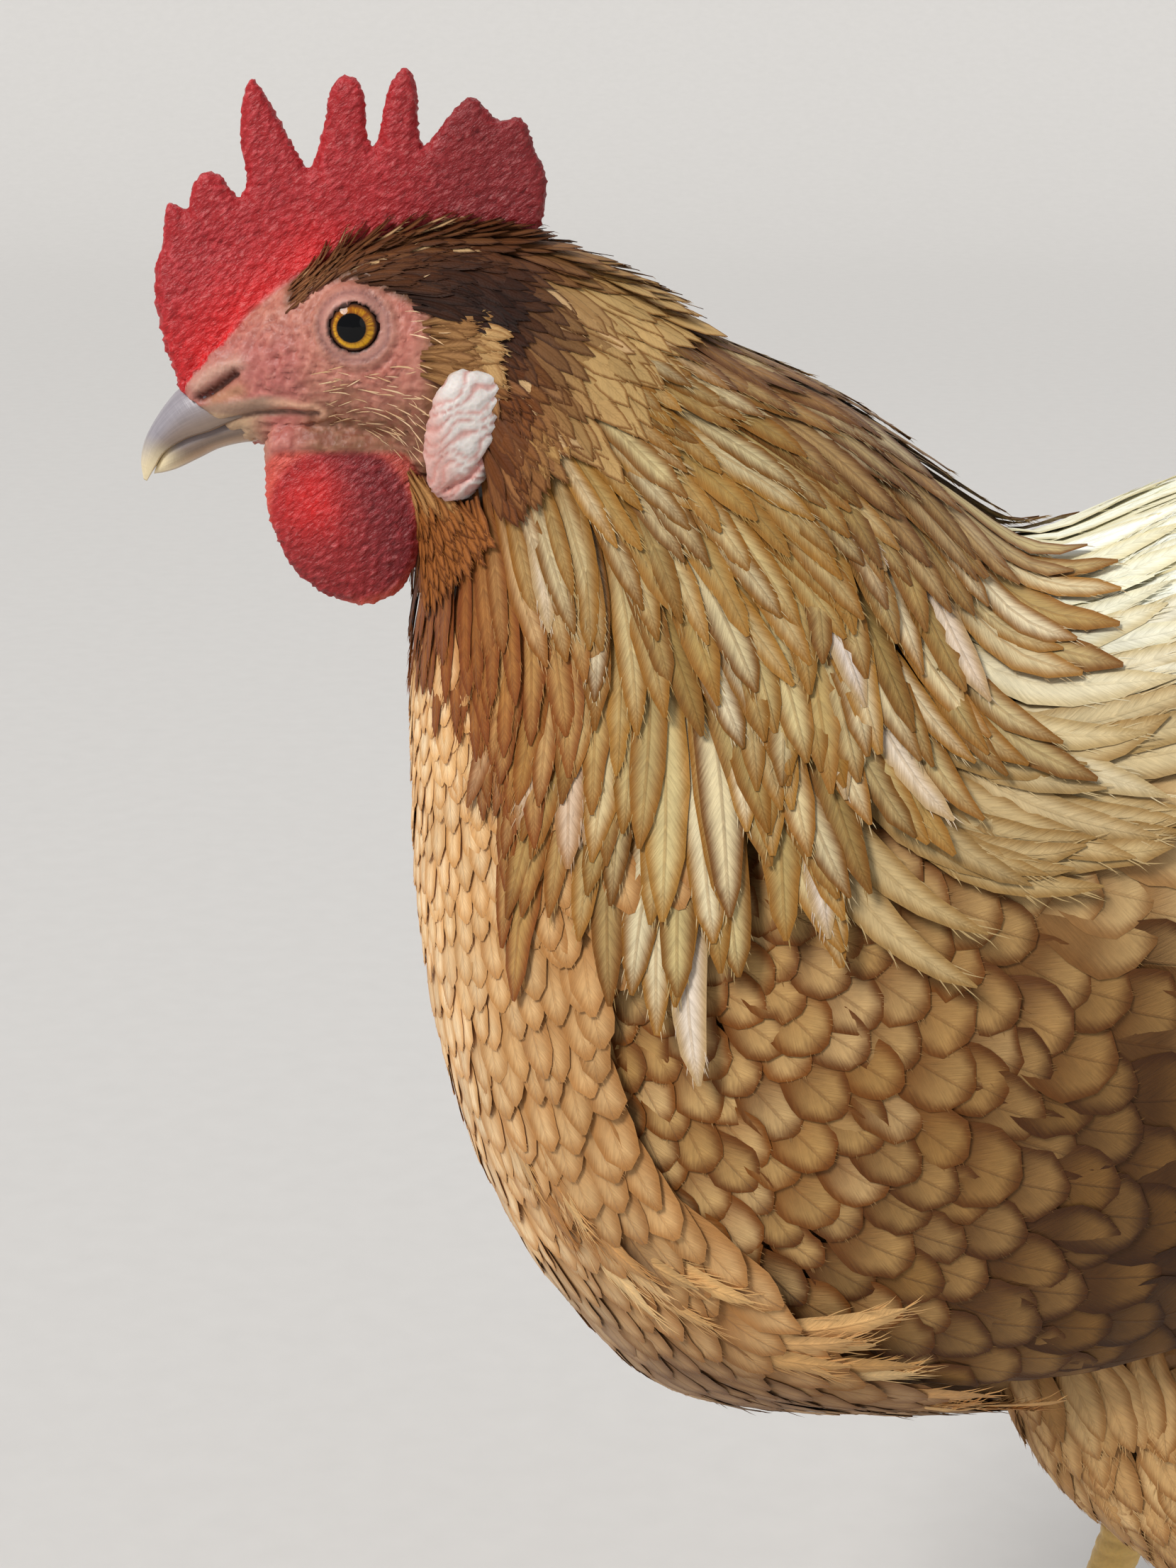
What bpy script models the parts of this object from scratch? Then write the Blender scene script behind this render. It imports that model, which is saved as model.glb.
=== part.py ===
"""A life-size standing hen of a light laying type, as a museum model in named pieces.

The hen faces -X and stands on the floor, z = 0, with its length centred on the Z axis and its left
side towards -Y.  The outer faces lie at the tips of the feathers.

Sizes are in millimetres and places are (x, z) from the bill's tip and the dip of the back behind
the neck; y is counted from the middle plane.  Most pieces are lofts through oval sections.  Head,
neck and trunk are stretches of one loft with a thin gap between them, and whatever meets another
piece is cut back from a slightly swollen copy of it.
"""

import math

import bmesh
import bpy
import numpy as np
from mathutils import Matrix, Vector

# Driving dimensions.
MM = 0.001
LENGTH = 409.0
BACK_HEIGHT = 298.0  # the dip of the back above the floor
GAP = 0.3  # between pieces that touch
FAR_LEG_FORWARD = 18.0  # the right foot stands this much ahead of the left
SIDES = {"left": -1, "right": 1}  # the sign of y on each side

# The body: name, back line (x, z), belly line (x, z), half width, and how far the widest level lies
# below the middle as a share.
BODY = (
    ("bill_root", (7, 29), (21, 18), 6.5, 0.0),
    ("forehead", (16, 38), (28, 17), 9.5, 0.0),
    ("brow", (27, 47), (35, 17), 13.0, 0.0),
    ("crown", (42, 55), (42, 16), 15.5, 0.0),
    ("ear", (59, 57), (47, 11), 18.0, 0.05),
    ("occiput", (75, 54), (49.5, 2), 21.5, 0.05),
    ("nape", (91, 46.5), (49.5, -9), 26.5, 0.05),
    ("neck_high", (108, 37), (49, -26), 33.0, 0.1),
    ("neck_mid", (129, 26.5), (49, -48), 43.0, 0.1),
    ("neck_low", (148, 12.5), (50, -72), 53.0, 0.1),
    ("neck_root", (161, 3), (54, -98), 61.0, 0.1),
    ("shoulder", (169, 1.5), (62, -123), 66.0, 0.1),
    ("breast", (177, 4), (75, -146), 69.0, 0.1),
    ("keel_front", (188, 8.5), (96.5, -167), 70.0, 0.1),
    ("keel", (205, 14), (134, -173), 70.0, 0.05),
    ("belly", (227, 20.5), (177, -171), 68.0, 0.0),
    ("flank", (250, 27), (216, -157), 64.0, 0.0),
    ("rump", (272, 34), (253, -129), 57.0, -0.05),
    ("vent", (291, 41), (284, -90), 45.0, -0.05),
    ("tail_root", (306, 47), (304, -42), 32.0, -0.1),
    ("tail_base", (317, 54), (314, -4), 20.0, -0.1),
)
HEAD_END, NECK_END = 5, 10  # the rows of BODY where it is parted

# Oval sections: name, x, z, y, long half, cross half, tilt of the long half in degrees.
TAIL = (
    ("root", 298, 8, 0, 30, 20, 100),
    ("low", 320, 22, 0, 36, 24, 104),
    ("middle", 346, 43, 0, 41, 25, 108),
    ("high", 370, 62, 0, 41, 22, 112),
    ("tips", 389, 78, 0, 34, 17, 116),
    ("end", 400, 89, 0, 20, 10, 118),
)
WING = (
    ("wrist", 68, -60, 36, 10, 7, 66),
    ("front", 84, -68, 46, 30, 12, 67),
    ("shoulder", 110, -77, 56, 47, 17, 70),
    ("bow", 142, -83, 61, 58, 19, 75),
    ("middle", 178, -82, 62, 58, 18, 82),
    ("secondaries", 216, -70, 57, 50, 16, 92),
    ("flights", 254, -48, 48, 38, 13, 102),
    ("tips", 288, -22, 37, 24, 9, 110),
    ("end", 314, -2, 29, 9, 4, 115),
)
THIGH = (
    ("knee", 196, -138, 38, 44, 22, 0),
    ("middle", 203, -168, 41, 36, 20, 0),
    ("calf", 211, -188, 43, 22, 15.5, 0),
    ("hock", 220, -204, 44, 12, 10, 0),
    ("end", 223, -211, 44, 8.5, 8, 0),
)
SHANK = (
    ("hock", 224, -206, 44, 7.0, 6.5, 0),
    ("under_hock", 221, -224, 44, 5.6, 4.9, 0),
    ("middle", 214, -250, 44, 5.0, 4.4, 0),
    ("ankle", 208, -274, 44, 5.6, 5.2, 0),
    ("foot", 205, -287, 44, 8.0, 8.0, 0),
    ("pad", 204.5, -293, 44, 9.0, 9.0, 0),
    ("sole", 204.5, -298, 44, 8.0, 8.0, 0),
)
BILL_UPPER = (
    ("root", 17, 24.5, 0, 8.5, 6.6, 130),
    ("face", 13, 23.0, 0, 7.0, 6.0, 130),
    ("middle", 8.6, 20.2, 0, 5.4, 4.8, 128),
    ("hook", 4.6, 17.2, 0, 4.0, 3.3, 132),
    ("point", 1.6, 13.6, 0, 2.2, 1.8, 155),
    ("tip", 0.7, 10.9, 0, 0.7, 0.5, 175),
)
BILL_LOWER = (
    ("root", 23, 20.0, 0, 2.6, 5.6, 105),
    ("middle", 16.5, 18.2, 0, 2.2, 4.6, 110),
    ("front", 9.4, 15.4, 0, 1.6, 3.0, 120),
    ("tip", 4.8, 13.2, 0, 0.9, 1.3, 125),
)

# The single comb, a flat plate.  Its front and back edges as places (x, z), and its points: name,
# the valley in front (x, z), the tip (x, z), and how wide the tip is.
COMB_HALF_THICKNESS = 2.1
COMB_HEART = (47.6, 22.2)  # the tips point away from here
COMB_FRONT = ((16, 26), (8, 28.5), (5.7, 36), (4.4, 47))
COMB_BACK = ((74.3, 66.4), (73.4, 57), (68, 50))
COMB_POINTS = (
    ("nick", (5.9, 54), (7.2, 60.4), 2.6),
    ("small", (11.0, 59.5), (14.2, 66.3), 5.2),
    ("first", (20.7, 62.6), (22.2, 82.6), 2.4),
    ("second", (32.8, 67.4), (38.9, 82.9), 5.6),
    ("third", (43.4, 70.6), (49.8, 84.3), 3.8),
    ("blade", (52.8, 71.6), (61.5, 79.5), 4.4),
    ("blade_back", (66.7, 75.9), (70.2, 76.3), 2.6),
)
# Flattened balls: centre (x, z), y, half length, half height, half thickness, tilt in degrees.
WATTLE = ((38.0, 5.0), 9.5, 14.0, 16.0, 2.4, 18)
LOBE = ((60.5, 21.5), 21.0, 7.2, 12.0, 3.4, -12)
EYE = ((41.0, 40.8), 8.6, 7.4, 7.4, 7.4, 0)

# The toes: name, angle towards the hen's middle in degrees, length without the claw.
TOES = (("middle", 4, 52), ("inner", 38, 40), ("outer", -30, 43), ("hind", 168, 24))
TOE_START = 3.0  # from the foot's middle
TOE_RADIUS = (5.2, 3.4)  # at its root and at its end
TOE_HEIGHT = 0.82  # of its middle line, in radii, so that the pads lie flat on the floor
TOE_PADS, PAD_SWELL = 3, 0.07
CLAW_LENGTH = 12.0
CLAW_RADIUS = (2.4, 0.4)  # at its root and at its tip
CLAW_HEIGHT = (3.0, 0.7)  # of its middle line at its root and at its tip

COLOURS = {
    "face_skin": ((0.55, 0.16, 0.12), 0.55),
    "red_skin": ((0.62, 0.02, 0.03), 0.45),
    "pale_lobe": ((0.80, 0.70, 0.66), 0.5),
    "horn": ((0.52, 0.44, 0.36), 0.3),
    "eye": ((0.45, 0.22, 0.03), 0.05),
    "hackle": ((0.47, 0.27, 0.11), 0.75),
    "buff": ((0.62, 0.36, 0.17), 0.8),
    "cream": ((0.75, 0.62, 0.42), 0.8),
    "leg_scale": ((0.66, 0.46, 0.16), 0.5),
}


def clear_scene():
    """Takes every object out of the scene."""
    for obj in list(bpy.data.objects):
        bpy.data.objects.remove(obj)


def new_collection(name):
    """A collection linked to the scene."""
    made = bpy.data.collections.new(name)
    bpy.context.scene.collection.children.link(made)
    return made


def material(name):
    """The Principled material for one of COLOURS, made once."""
    found = bpy.data.materials.get(name)
    if found:
        return found
    colour, roughness = COLOURS[name]
    made = bpy.data.materials.new(name)
    made.use_nodes = True
    shader = made.node_tree.nodes["Principled BSDF"]
    shader.inputs["Base Color"].default_value = (*colour, 1)
    shader.inputs["Roughness"].default_value = roughness
    shader.inputs["Metallic"].default_value = 0.0
    return made


def world(x, y, z):
    """A place on the hen, in millimetres, as a world position in metres."""
    return Vector((x - LENGTH / 2, y, z + BACK_HEIGHT)) * MM


def smooth_rows(rows, per_row):
    """Rows of numbers, with more rows between them on a Catmull-Rom curve."""
    rows = np.asarray(rows, float)
    ends = np.vstack([2 * rows[0] - rows[1], rows, 2 * rows[-1] - rows[-2]])
    at = np.linspace(0, len(rows) - 1, (len(rows) - 1) * per_row + 1)
    low = np.minimum(at.astype(int), len(rows) - 2)
    t = (at - low)[:, None]
    a, b, c, d = (ends[low + i] for i in range(4))
    return b + 0.5 * t * (c - a + t * (2 * a - 5 * b + 4 * c - d + t * (3 * b - a - 3 * c + d)))


def oval_rings(centre, long, cross, low, around):
    """Rings of points about each centre, spanned by two half axes, widest below the middle by low."""
    turn = np.linspace(0, 2 * math.pi, around, endpoint=False)[None, :, None]
    swing = np.cos(turn)
    across = np.sin(turn) * (1 - np.asarray(low)[:, None, None] * swing)
    return centre[:, None] + long[:, None] * swing + cross[:, None] * across


def body_rings(first, last, around=24, per_row=2):
    """Rings of the body between two rows of BODY, in millimetres."""
    rows = [(*back, *front, width, low) for _, back, front, width, low in BODY]
    back_x, back_z, front_x, front_z, width, low = smooth_rows(rows, per_row).T
    flat = np.zeros_like(width)
    back = np.stack([back_x, flat, back_z], axis=1)
    front = np.stack([front_x, flat, front_z], axis=1)
    cross = np.stack([flat, width, flat], axis=1)
    rings = oval_rings((back + front) / 2, (back - front) / 2, cross, low, around)
    return rings[first * per_row : last * per_row + 1]


def section_rings(rows, side=1, around=16, per_row=2, forward=0.0):
    """Rings of a loft through rows of oval sections, in millimetres, on one side of the hen."""
    x, z, y, long_half, cross_half, tilt = smooth_rows([row[1:] for row in rows], per_row).T
    flat = np.zeros_like(x)
    turn = np.radians(tilt)
    centre = np.stack([x - forward, y * side, z], axis=1)
    long = np.stack([long_half * np.cos(turn), flat, long_half * np.sin(turn)], axis=1)
    cross = np.stack([flat, cross_half, flat], axis=1)
    return oval_rings(centre, long, cross, flat, around)


def mesh_object(name, shape, collection, finish=None):
    """An object made from a bmesh, which is freed, with a material if finish names one."""
    mesh = bpy.data.meshes.new(name)
    bmesh.ops.recalc_face_normals(shape, faces=shape.faces)
    shape.to_mesh(mesh)
    shape.free()
    mesh.shade_smooth()
    made = bpy.data.objects.new(name, mesh)
    collection.objects.link(made)
    if finish:
        mesh.materials.append(material(finish))
    else:
        made.hide_render = True
        made.display_type = "WIRE"
    return made


def loft(name, rings, collection, finish=None, swell=0.0):
    """A closed mesh object through rings of places on the hen, each end closed by one flat face."""
    shape = bmesh.new()
    grid = [[shape.verts.new(world(*place)) for place in ring] for ring in rings.tolist()]
    for near, far in zip(grid, grid[1:]):
        for i, j in zip(range(len(near)), [*range(1, len(near)), 0]):
            shape.faces.new((near[i], near[j], far[j], far[i]))
    shape.faces.new(grid[0])
    shape.faces.new(grid[-1])
    swell_mesh(shape, swell)
    return mesh_object(name, shape, collection, finish)


def swell_mesh(shape, swell):
    """Moves a bmesh's points outwards by some millimetres."""
    bmesh.ops.recalc_face_normals(shape, faces=shape.faces)
    shape.normal_update()
    for vert in shape.verts:
        vert.co += vert.normal * swell * MM


def ball(name, sizes, side, collection, finish=None, swell=0.0, segments=16):
    """A flattened ball on one side of the hen, from its row of sizes."""
    (x, z), y, half_length, half_height, half_thickness, tilt = sizes
    halves = Vector((half_length, half_thickness, half_height)) + Vector((swell, swell, swell))
    place = Matrix.Translation(world(x, y * side, z)) @ Matrix.Rotation(math.radians(-tilt), 4, "Y")
    shape = bmesh.new()
    bmesh.ops.create_uvsphere(
        shape,
        u_segments=segments,
        v_segments=segments // 2,
        radius=MM,
        matrix=place @ Matrix.Diagonal((*halves, 1)),
    )
    return mesh_object(name, shape, collection, finish)


def cut(target, *tools):
    """Cuts other pieces' swollen copies out of a piece."""
    for tool in tools:
        modifier = target.modifiers.new(tool.name, "BOOLEAN")
        modifier.operation = "DIFFERENCE"
        modifier.solver = "EXACT"
        modifier.object = tool


def part_from(rings, depth=GAP):
    """The same rings with the first one moved along the loft, to leave a gap before it."""
    across = rings[0, 0] - rings[0, rings.shape[1] // 2]
    along = np.cross(across, (0, 1, 0))
    if along @ (rings[1].mean(0) - rings[0].mean(0)) < 0:
        along = -along
    rings[0] += along / np.linalg.norm(along) * depth
    return rings


def comb_outline():
    """The comb's outline as places (x, z), each tip rounded off over its width."""
    line = [Vector(place) for place in COMB_FRONT]
    for _, valley, tip, width in COMB_POINTS:
        valley, tip = Vector(valley), Vector(tip)
        up = (tip - Vector(COMB_HEART)).normalized()
        side = Vector((up.y, -up.x)) * width / 2
        line += [valley, tip - up * width / 2 - side, tip - side / 2, tip + side / 2]
        line.append(tip - up * width / 2 + side)
    return line + [Vector(place) for place in COMB_BACK]


def comb(collection, finish):
    """The single comb: a flat outline with a thickness, made a mesh so that it can be cut."""
    outline = bpy.data.curves.new("comb_outline", "CURVE")
    outline.dimensions = "2D"
    outline.fill_mode = "BOTH"
    outline.extrude = COMB_HALF_THICKNESS * MM
    points = comb_outline()
    line = outline.splines.new("POLY")
    line.points.add(len(points) - 1)
    line.use_cyclic_u = True
    for point, (x, z) in zip(line.points, points):
        point.co = (x * MM, z * MM, 0, 1)
    flat = bpy.data.objects.new("comb_outline", outline)
    collection.objects.link(flat)
    flat.location = world(0, 0, 0)
    flat.rotation_euler = (math.pi / 2, 0, 0)
    bpy.context.view_layer.update()
    seen = flat.evaluated_get(bpy.context.evaluated_depsgraph_get())
    mesh = bpy.data.meshes.new_from_object(seen)
    mesh.transform(flat.matrix_world)
    bpy.data.objects.remove(flat)
    shape = bmesh.new()
    shape.from_mesh(mesh)
    bpy.data.meshes.remove(mesh)
    bmesh.ops.remove_doubles(shape, verts=shape.verts, dist=0.01 * MM)
    return mesh_object("comb", shape, collection, finish)


def toe_rings(length):
    """Rings of a toe that points along -X from the foot's middle, its pads flat on the floor."""
    share = np.linspace(0, 1, 3 * TOE_PADS)
    radius = TOE_RADIUS[0] + (TOE_RADIUS[1] - TOE_RADIUS[0]) * share
    radius *= 1 + PAD_SWELL * np.cos(2 * math.pi * TOE_PADS * share)
    flat = np.zeros_like(share)
    reach = TOE_START + (length - TOE_START) * share
    centre = np.stack([-reach, flat, TOE_HEIGHT * radius], axis=1)
    up = np.stack([flat, flat, radius], axis=1)
    cross = np.stack([flat, radius, flat], axis=1)
    rings = oval_rings(centre, up, cross, flat, 10)
    rings[..., 2] = np.maximum(rings[..., 2], 0)
    return rings


def claw_rings(start):
    """Rings of a claw that goes on from a toe's end, curving down."""
    share = np.linspace(0, 1, 5)
    radius = CLAW_RADIUS[0] + (CLAW_RADIUS[1] - CLAW_RADIUS[0]) * share
    height = CLAW_HEIGHT[0] + (CLAW_HEIGHT[1] - CLAW_HEIGHT[0]) * share**2
    flat = np.zeros_like(share)
    centre = np.stack([-(start + GAP + CLAW_LENGTH * share), flat, height], axis=1)
    up = np.stack([flat, flat, radius], axis=1)
    cross = np.stack([flat, 0.8 * radius, flat], axis=1)
    return oval_rings(centre, up, cross, flat, 8)


def stand(obj, side, forward, angle):
    """Turns a toe or claw to its angle and moves it to its foot, whose middle is in SHANK."""
    _, x, z, y, *_ = SHANK[-1]
    obj.location = world(x - forward, y * side, z)
    obj.rotation_euler = (0, 0, math.radians(angle) * side)


def own_loft(name, rings, collection, finish=None, swell=0.0):
    """A loft in its own frame, with the origin at zero, for a piece that is turned and moved."""
    made = loft(name, rings, collection, finish, swell)
    made.data.transform(Matrix.Translation(-world(0, 0, 0)))
    return made


def leg(side_name, side, hen, cutters, *near):
    """One leg: the feathered thigh, the scaled shank with its foot pad, and four toes with claws."""
    forward = FAR_LEG_FORWARD if side_name == "right" else 0.0
    shank_rings = section_rings(SHANK, side, around=12, per_row=1, forward=forward)
    thigh_rings = section_rings(THIGH, side, around=18, forward=forward)
    loft(f"shank_{side_name}", shank_rings, hen, "leg_scale")
    near_shank = loft(f"near_shank_{side_name}", shank_rings, cutters, swell=GAP)
    thigh = loft(f"thigh_{side_name}", thigh_rings, hen, "buff")
    cut(thigh, near_shank, *near)
    near_toes = []
    for toe_name, angle, length in TOES:
        name = f"toe_{toe_name}_{side_name}"
        toe = own_loft(name, toe_rings(length), hen, "leg_scale")
        near_toe = own_loft(f"near_{name}", toe_rings(length), cutters, swell=GAP)
        claw = own_loft(f"claw_{toe_name}_{side_name}", claw_rings(length), hen, "horn")
        for piece in (toe, near_toe, claw):
            stand(piece, side, forward, angle)
        cut(toe, near_shank, *near_toes)
        near_toes.append(near_toe)


def main():
    """Builds the hen."""
    clear_scene()
    hen = new_collection("hen")
    cutters = new_collection("cutters")
    end = len(BODY) - 1
    body = loft("near_body", body_rings(0, end), cutters, swell=GAP)
    head = loft("head", body_rings(0, HEAD_END), hen, "face_skin")
    loft("neck", part_from(body_rings(HEAD_END, NECK_END)), hen, "hackle")
    loft("trunk", part_from(body_rings(NECK_END, end)), hen, "buff")

    upper_rings = section_rings(BILL_UPPER, around=12)
    lower_rings = section_rings(BILL_LOWER, around=12)
    near_upper = loft("near_bill_upper", upper_rings, cutters, swell=GAP)
    cut(loft("bill_upper", upper_rings, hen, "horn"), body)
    cut(loft("bill_lower", lower_rings, hen, "horn"), body, near_upper)
    cut(comb(hen, "red_skin"), body, near_upper)

    tail_rings = section_rings(TAIL, around=18)
    near_tail = loft("near_tail", tail_rings, cutters, swell=GAP)
    cut(loft("tail", tail_rings, hen, "cream"), body)
    for side_name, side in SIDES.items():
        ball(f"eye_{side_name}", EYE, side, hen, "eye")
        cut(head, ball(f"near_eye_{side_name}", EYE, side, cutters, swell=GAP))
        cut(ball(f"wattle_{side_name}", WATTLE, side, hen, "red_skin"), body)
        cut(ball(f"ear_lobe_{side_name}", LOBE, side, hen, "pale_lobe"), body)
        wing_rings = section_rings(WING, side)
        near_wing = loft(f"near_wing_{side_name}", wing_rings, cutters, swell=GAP)
        cut(loft(f"wing_{side_name}", wing_rings, hen, "buff"), body, near_tail)
        leg(side_name, side, hen, cutters, body, near_wing)


main()
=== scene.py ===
"""A life-size standing hen of a light laying type: the look of the museum model.

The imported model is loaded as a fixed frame.  One skin replaces the pieces of flesh and lies inside
them by the coat's depth; feathers are solid vanes laid over it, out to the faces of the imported
model.  Eyes, bill and claws are pieces of their own.

Places are worked out in hen millimetres: x from the bill's tip, y from the middle plane, z from the
dip of the back behind the neck, and they become metres only when a mesh is made.
"""

import logging
import math
from dataclasses import dataclass
from enum import Enum
from functools import partialmethod
from typing import Callable, Sequence

import bmesh
import bpy
import numpy as np
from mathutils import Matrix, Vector


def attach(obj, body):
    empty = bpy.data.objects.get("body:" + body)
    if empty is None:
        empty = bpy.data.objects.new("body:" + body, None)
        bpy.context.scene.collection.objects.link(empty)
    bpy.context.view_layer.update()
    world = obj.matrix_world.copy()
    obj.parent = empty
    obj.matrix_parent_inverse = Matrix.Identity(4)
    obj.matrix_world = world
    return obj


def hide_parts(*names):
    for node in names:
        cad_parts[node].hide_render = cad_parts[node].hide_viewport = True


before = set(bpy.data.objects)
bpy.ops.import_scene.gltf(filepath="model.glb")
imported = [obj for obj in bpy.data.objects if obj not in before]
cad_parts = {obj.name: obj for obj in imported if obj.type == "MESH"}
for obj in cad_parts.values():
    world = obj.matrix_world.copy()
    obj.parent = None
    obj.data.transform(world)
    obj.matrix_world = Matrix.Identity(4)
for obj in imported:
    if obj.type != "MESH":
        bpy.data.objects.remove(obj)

log = logging.getLogger("hen")

Array = np.ndarray
Colour = tuple[float, float, float]
Path = tuple[tuple[float, float], ...]
Range = tuple[float, float]
Spacing = tuple[float, float, float]  # at the start, its growth for each millimetre, and until where
Shell = tuple[Array, list[Array]]  # points, and arrays of faces

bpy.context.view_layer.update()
MM = 0.001
HALF_LENGTH = 204.5  # from the bill's tip to the frame's upright axis
BACK_HEIGHT = 298.0  # the dip of the back above the floor
SIDES = {"left": -1, "right": 1}  # the sign of y on each side
FOOT_APART = 44.0  # from the middle plane to a foot's middle
FAR_LEG_FORWARD = 18.0  # the right foot stands this much ahead of the left
PATCH = 0.003  # the size of a feather's patch on the bake map
PER_ROW = 8  # the rings of a loft for each given row

# The body: back line (x, z), belly line (x, z), half width, and how far the widest level lies
# below the middle as a share.
BODY = (
    (7, 29, 21, 18, 6.5, 0.0),  # 0 root of the bill
    (16, 38, 28, 17, 9.5, 0.0),
    (27, 47, 35, 17, 13.0, 0.0),
    (42, 55, 42, 16, 15.5, 0.0),  # 3 crown
    (59, 57, 47, 11, 18.0, 0.05),
    (75, 54, 49.5, 2, 21.5, 0.05),  # 5 back of the head
    (91, 46.5, 49.5, -9, 26.5, 0.05),
    (108, 37, 49, -26, 33.0, 0.1),
    (129, 26.5, 49, -48, 43.0, 0.1),  # 8 middle of the neck
    (148, 12.5, 50, -72, 53.0, 0.1),
    (161, 3, 54, -98, 61.0, 0.1),  # 10 root of the neck
    (169, 1.5, 62, -123, 66.0, 0.1),
    (177, 4, 75, -146, 69.0, 0.1),
    (188, 8.5, 96.5, -167, 70.0, 0.1),
    (205, 14, 134, -173, 70.0, 0.05),  # 14 keel
    (227, 20.5, 177, -171, 68.0, 0.0),
    (250, 27, 216, -157, 64.0, 0.0),
    (272, 34, 253, -129, 57.0, -0.05),
    (291, 41, 284, -90, 45.0, -0.05),  # 18 vent
    (306, 47, 304, -42, 32.0, -0.1),
    (317, 54, 314, -4, 20.0, -0.1),
)
# Lofts through oval sections: x, z, y, half height, half thickness, and the tilt of the height in
# degrees from the hen's length.
TAIL = (
    (298, 8, 0, 30, 20, 100),
    (320, 22, 0, 36, 24, 104),
    (346, 43, 0, 41, 25, 108),
    (370, 62, 0, 41, 22, 112),
    (389, 78, 0, 34, 17, 116),
    (400, 89, 0, 20, 10, 118),
)
WING = (
    (68, -60, 36, 10, 7, 66),
    (84, -68, 46, 30, 12, 67),
    (110, -77, 56, 47, 17, 70),
    (142, -83, 61, 58, 19, 75),
    (178, -82, 62, 58, 18, 82),
    (216, -70, 57, 50, 16, 92),
    (254, -48, 48, 38, 13, 102),
    (288, -22, 37, 24, 9, 110),
    (314, -2, 29, 9, 4, 115),
)
THIGH = (
    (196, -138, 38, 44, 22, 0),
    (203, -168, 41, 36, 20, 0),
    (211, -188, 43, 22, 15.5, 0),
    (220, -204, 44, 12, 10, 0),
    (223, -211, 44, 8.5, 8, 0),
)
SHANK = (
    (224, -203, 44, 7.2, 6.7, 0),
    (221, -224, 44, 5.6, 4.9, 0),
    (214, -250, 44, 5.0, 4.4, 0),
    (208, -274, 44, 5.6, 5.2, 0),
    (205, -287, 44, 8.0, 8.0, 0),
    (204.5, -293, 44, 9.0, 9.0, 0),
    (204.5, -297.6, 44, 8.0, 8.0, 0),
)


def ease(low: float, high: float, value: Array) -> Array:
    """A smooth step from 0 at low to 1 at high: 3t squared less 2t cubed.

    Args:
        low: the value where the step starts.
        high: the value where it ends; it may be below low.
        value: the numbers to step.

    Returns:
        Numbers from 0 to 1 of the same shape.
    """
    t = np.clip((np.asarray(value, float) - low) / (high - low), 0, 1)
    return t * t * (3 - 2 * t)


def mix(a: Array, b: Array, share: Array) -> Array:
    """Rows of a turned into rows of b by a share from 0 to 1 for each row."""
    share = np.asarray(share, float)[..., None]
    return np.asarray(a, float) * (1 - share) + np.asarray(b, float) * share


def unit(v: Array) -> Array:
    """Vectors of length one along the last axis."""
    return v / np.maximum(np.linalg.norm(v, axis=-1, keepdims=True), 1e-9)


def linear(colour: Array | Colour) -> Array:
    """A screen colour of 0 to 255 as scene-linear light: the usual power curve with its toe."""
    c = np.asarray(colour, float) / 255
    return np.where(c <= 0.04045, c / 12.92, ((c + 0.055) / 1.055) ** 2.4)


def ahead(side: int) -> float:
    """How far the leg of a side stands ahead."""
    return FAR_LEG_FORWARD if side > 0 else 0.0


def to_metres(places: Array) -> Array:
    """Hen millimetres as metres in the frame: moved to the frame's middle and floor, then scaled."""
    return (np.asarray(places, float) + (-HALF_LENGTH, 0, BACK_HEIGHT)) * MM


def smooth_rows(rows: Sequence[Sequence[float]], per_row: int) -> Array:
    """Rows of numbers, with more rows between them on a Catmull-Rom curve.

    Args:
        rows: the given rows.
        per_row: how many steps one gap is cut into.

    Returns:
        An array whose row i * per_row is the given row i.
    """
    table = np.asarray(rows, float)
    ends = np.vstack([2 * table[0] - table[1], table, 2 * table[-1] - table[-2]])
    at = np.linspace(0, len(table) - 1, (len(table) - 1) * per_row + 1)
    low = np.minimum(at.astype(int), len(table) - 2)
    t = (at - low)[:, None]
    a, b, c, d = (ends[low + i] for i in range(4))
    return b + 0.5 * t * (c - a + t * (2 * a - 5 * b + 4 * c - d + t * (3 * b - a - 3 * c + d)))


def wave_noise(places: Array, size: float, seed: int, waves: int = 24) -> Array:
    """Smooth noise as a sum of sine waves in random directions, about -1 to 1.

    Args:
        places: an (n, 3) array in millimetres.
        size: the usual distance between two crests.
        seed: the seed of the directions and phases.
        waves: how many waves are added.

    Returns:
        One number for each place.
    """
    rng = np.random.default_rng(seed)
    ways = unit(rng.normal(size=(waves, 3))) * (2 * math.pi / size)
    ways *= rng.uniform(0.7, 1.4, (waves, 1))
    phases = rng.uniform(0, 2 * math.pi, waves)
    return np.sin(np.asarray(places) @ ways.T + phases).sum(-1) * (1.5 / math.sqrt(waves))


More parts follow.
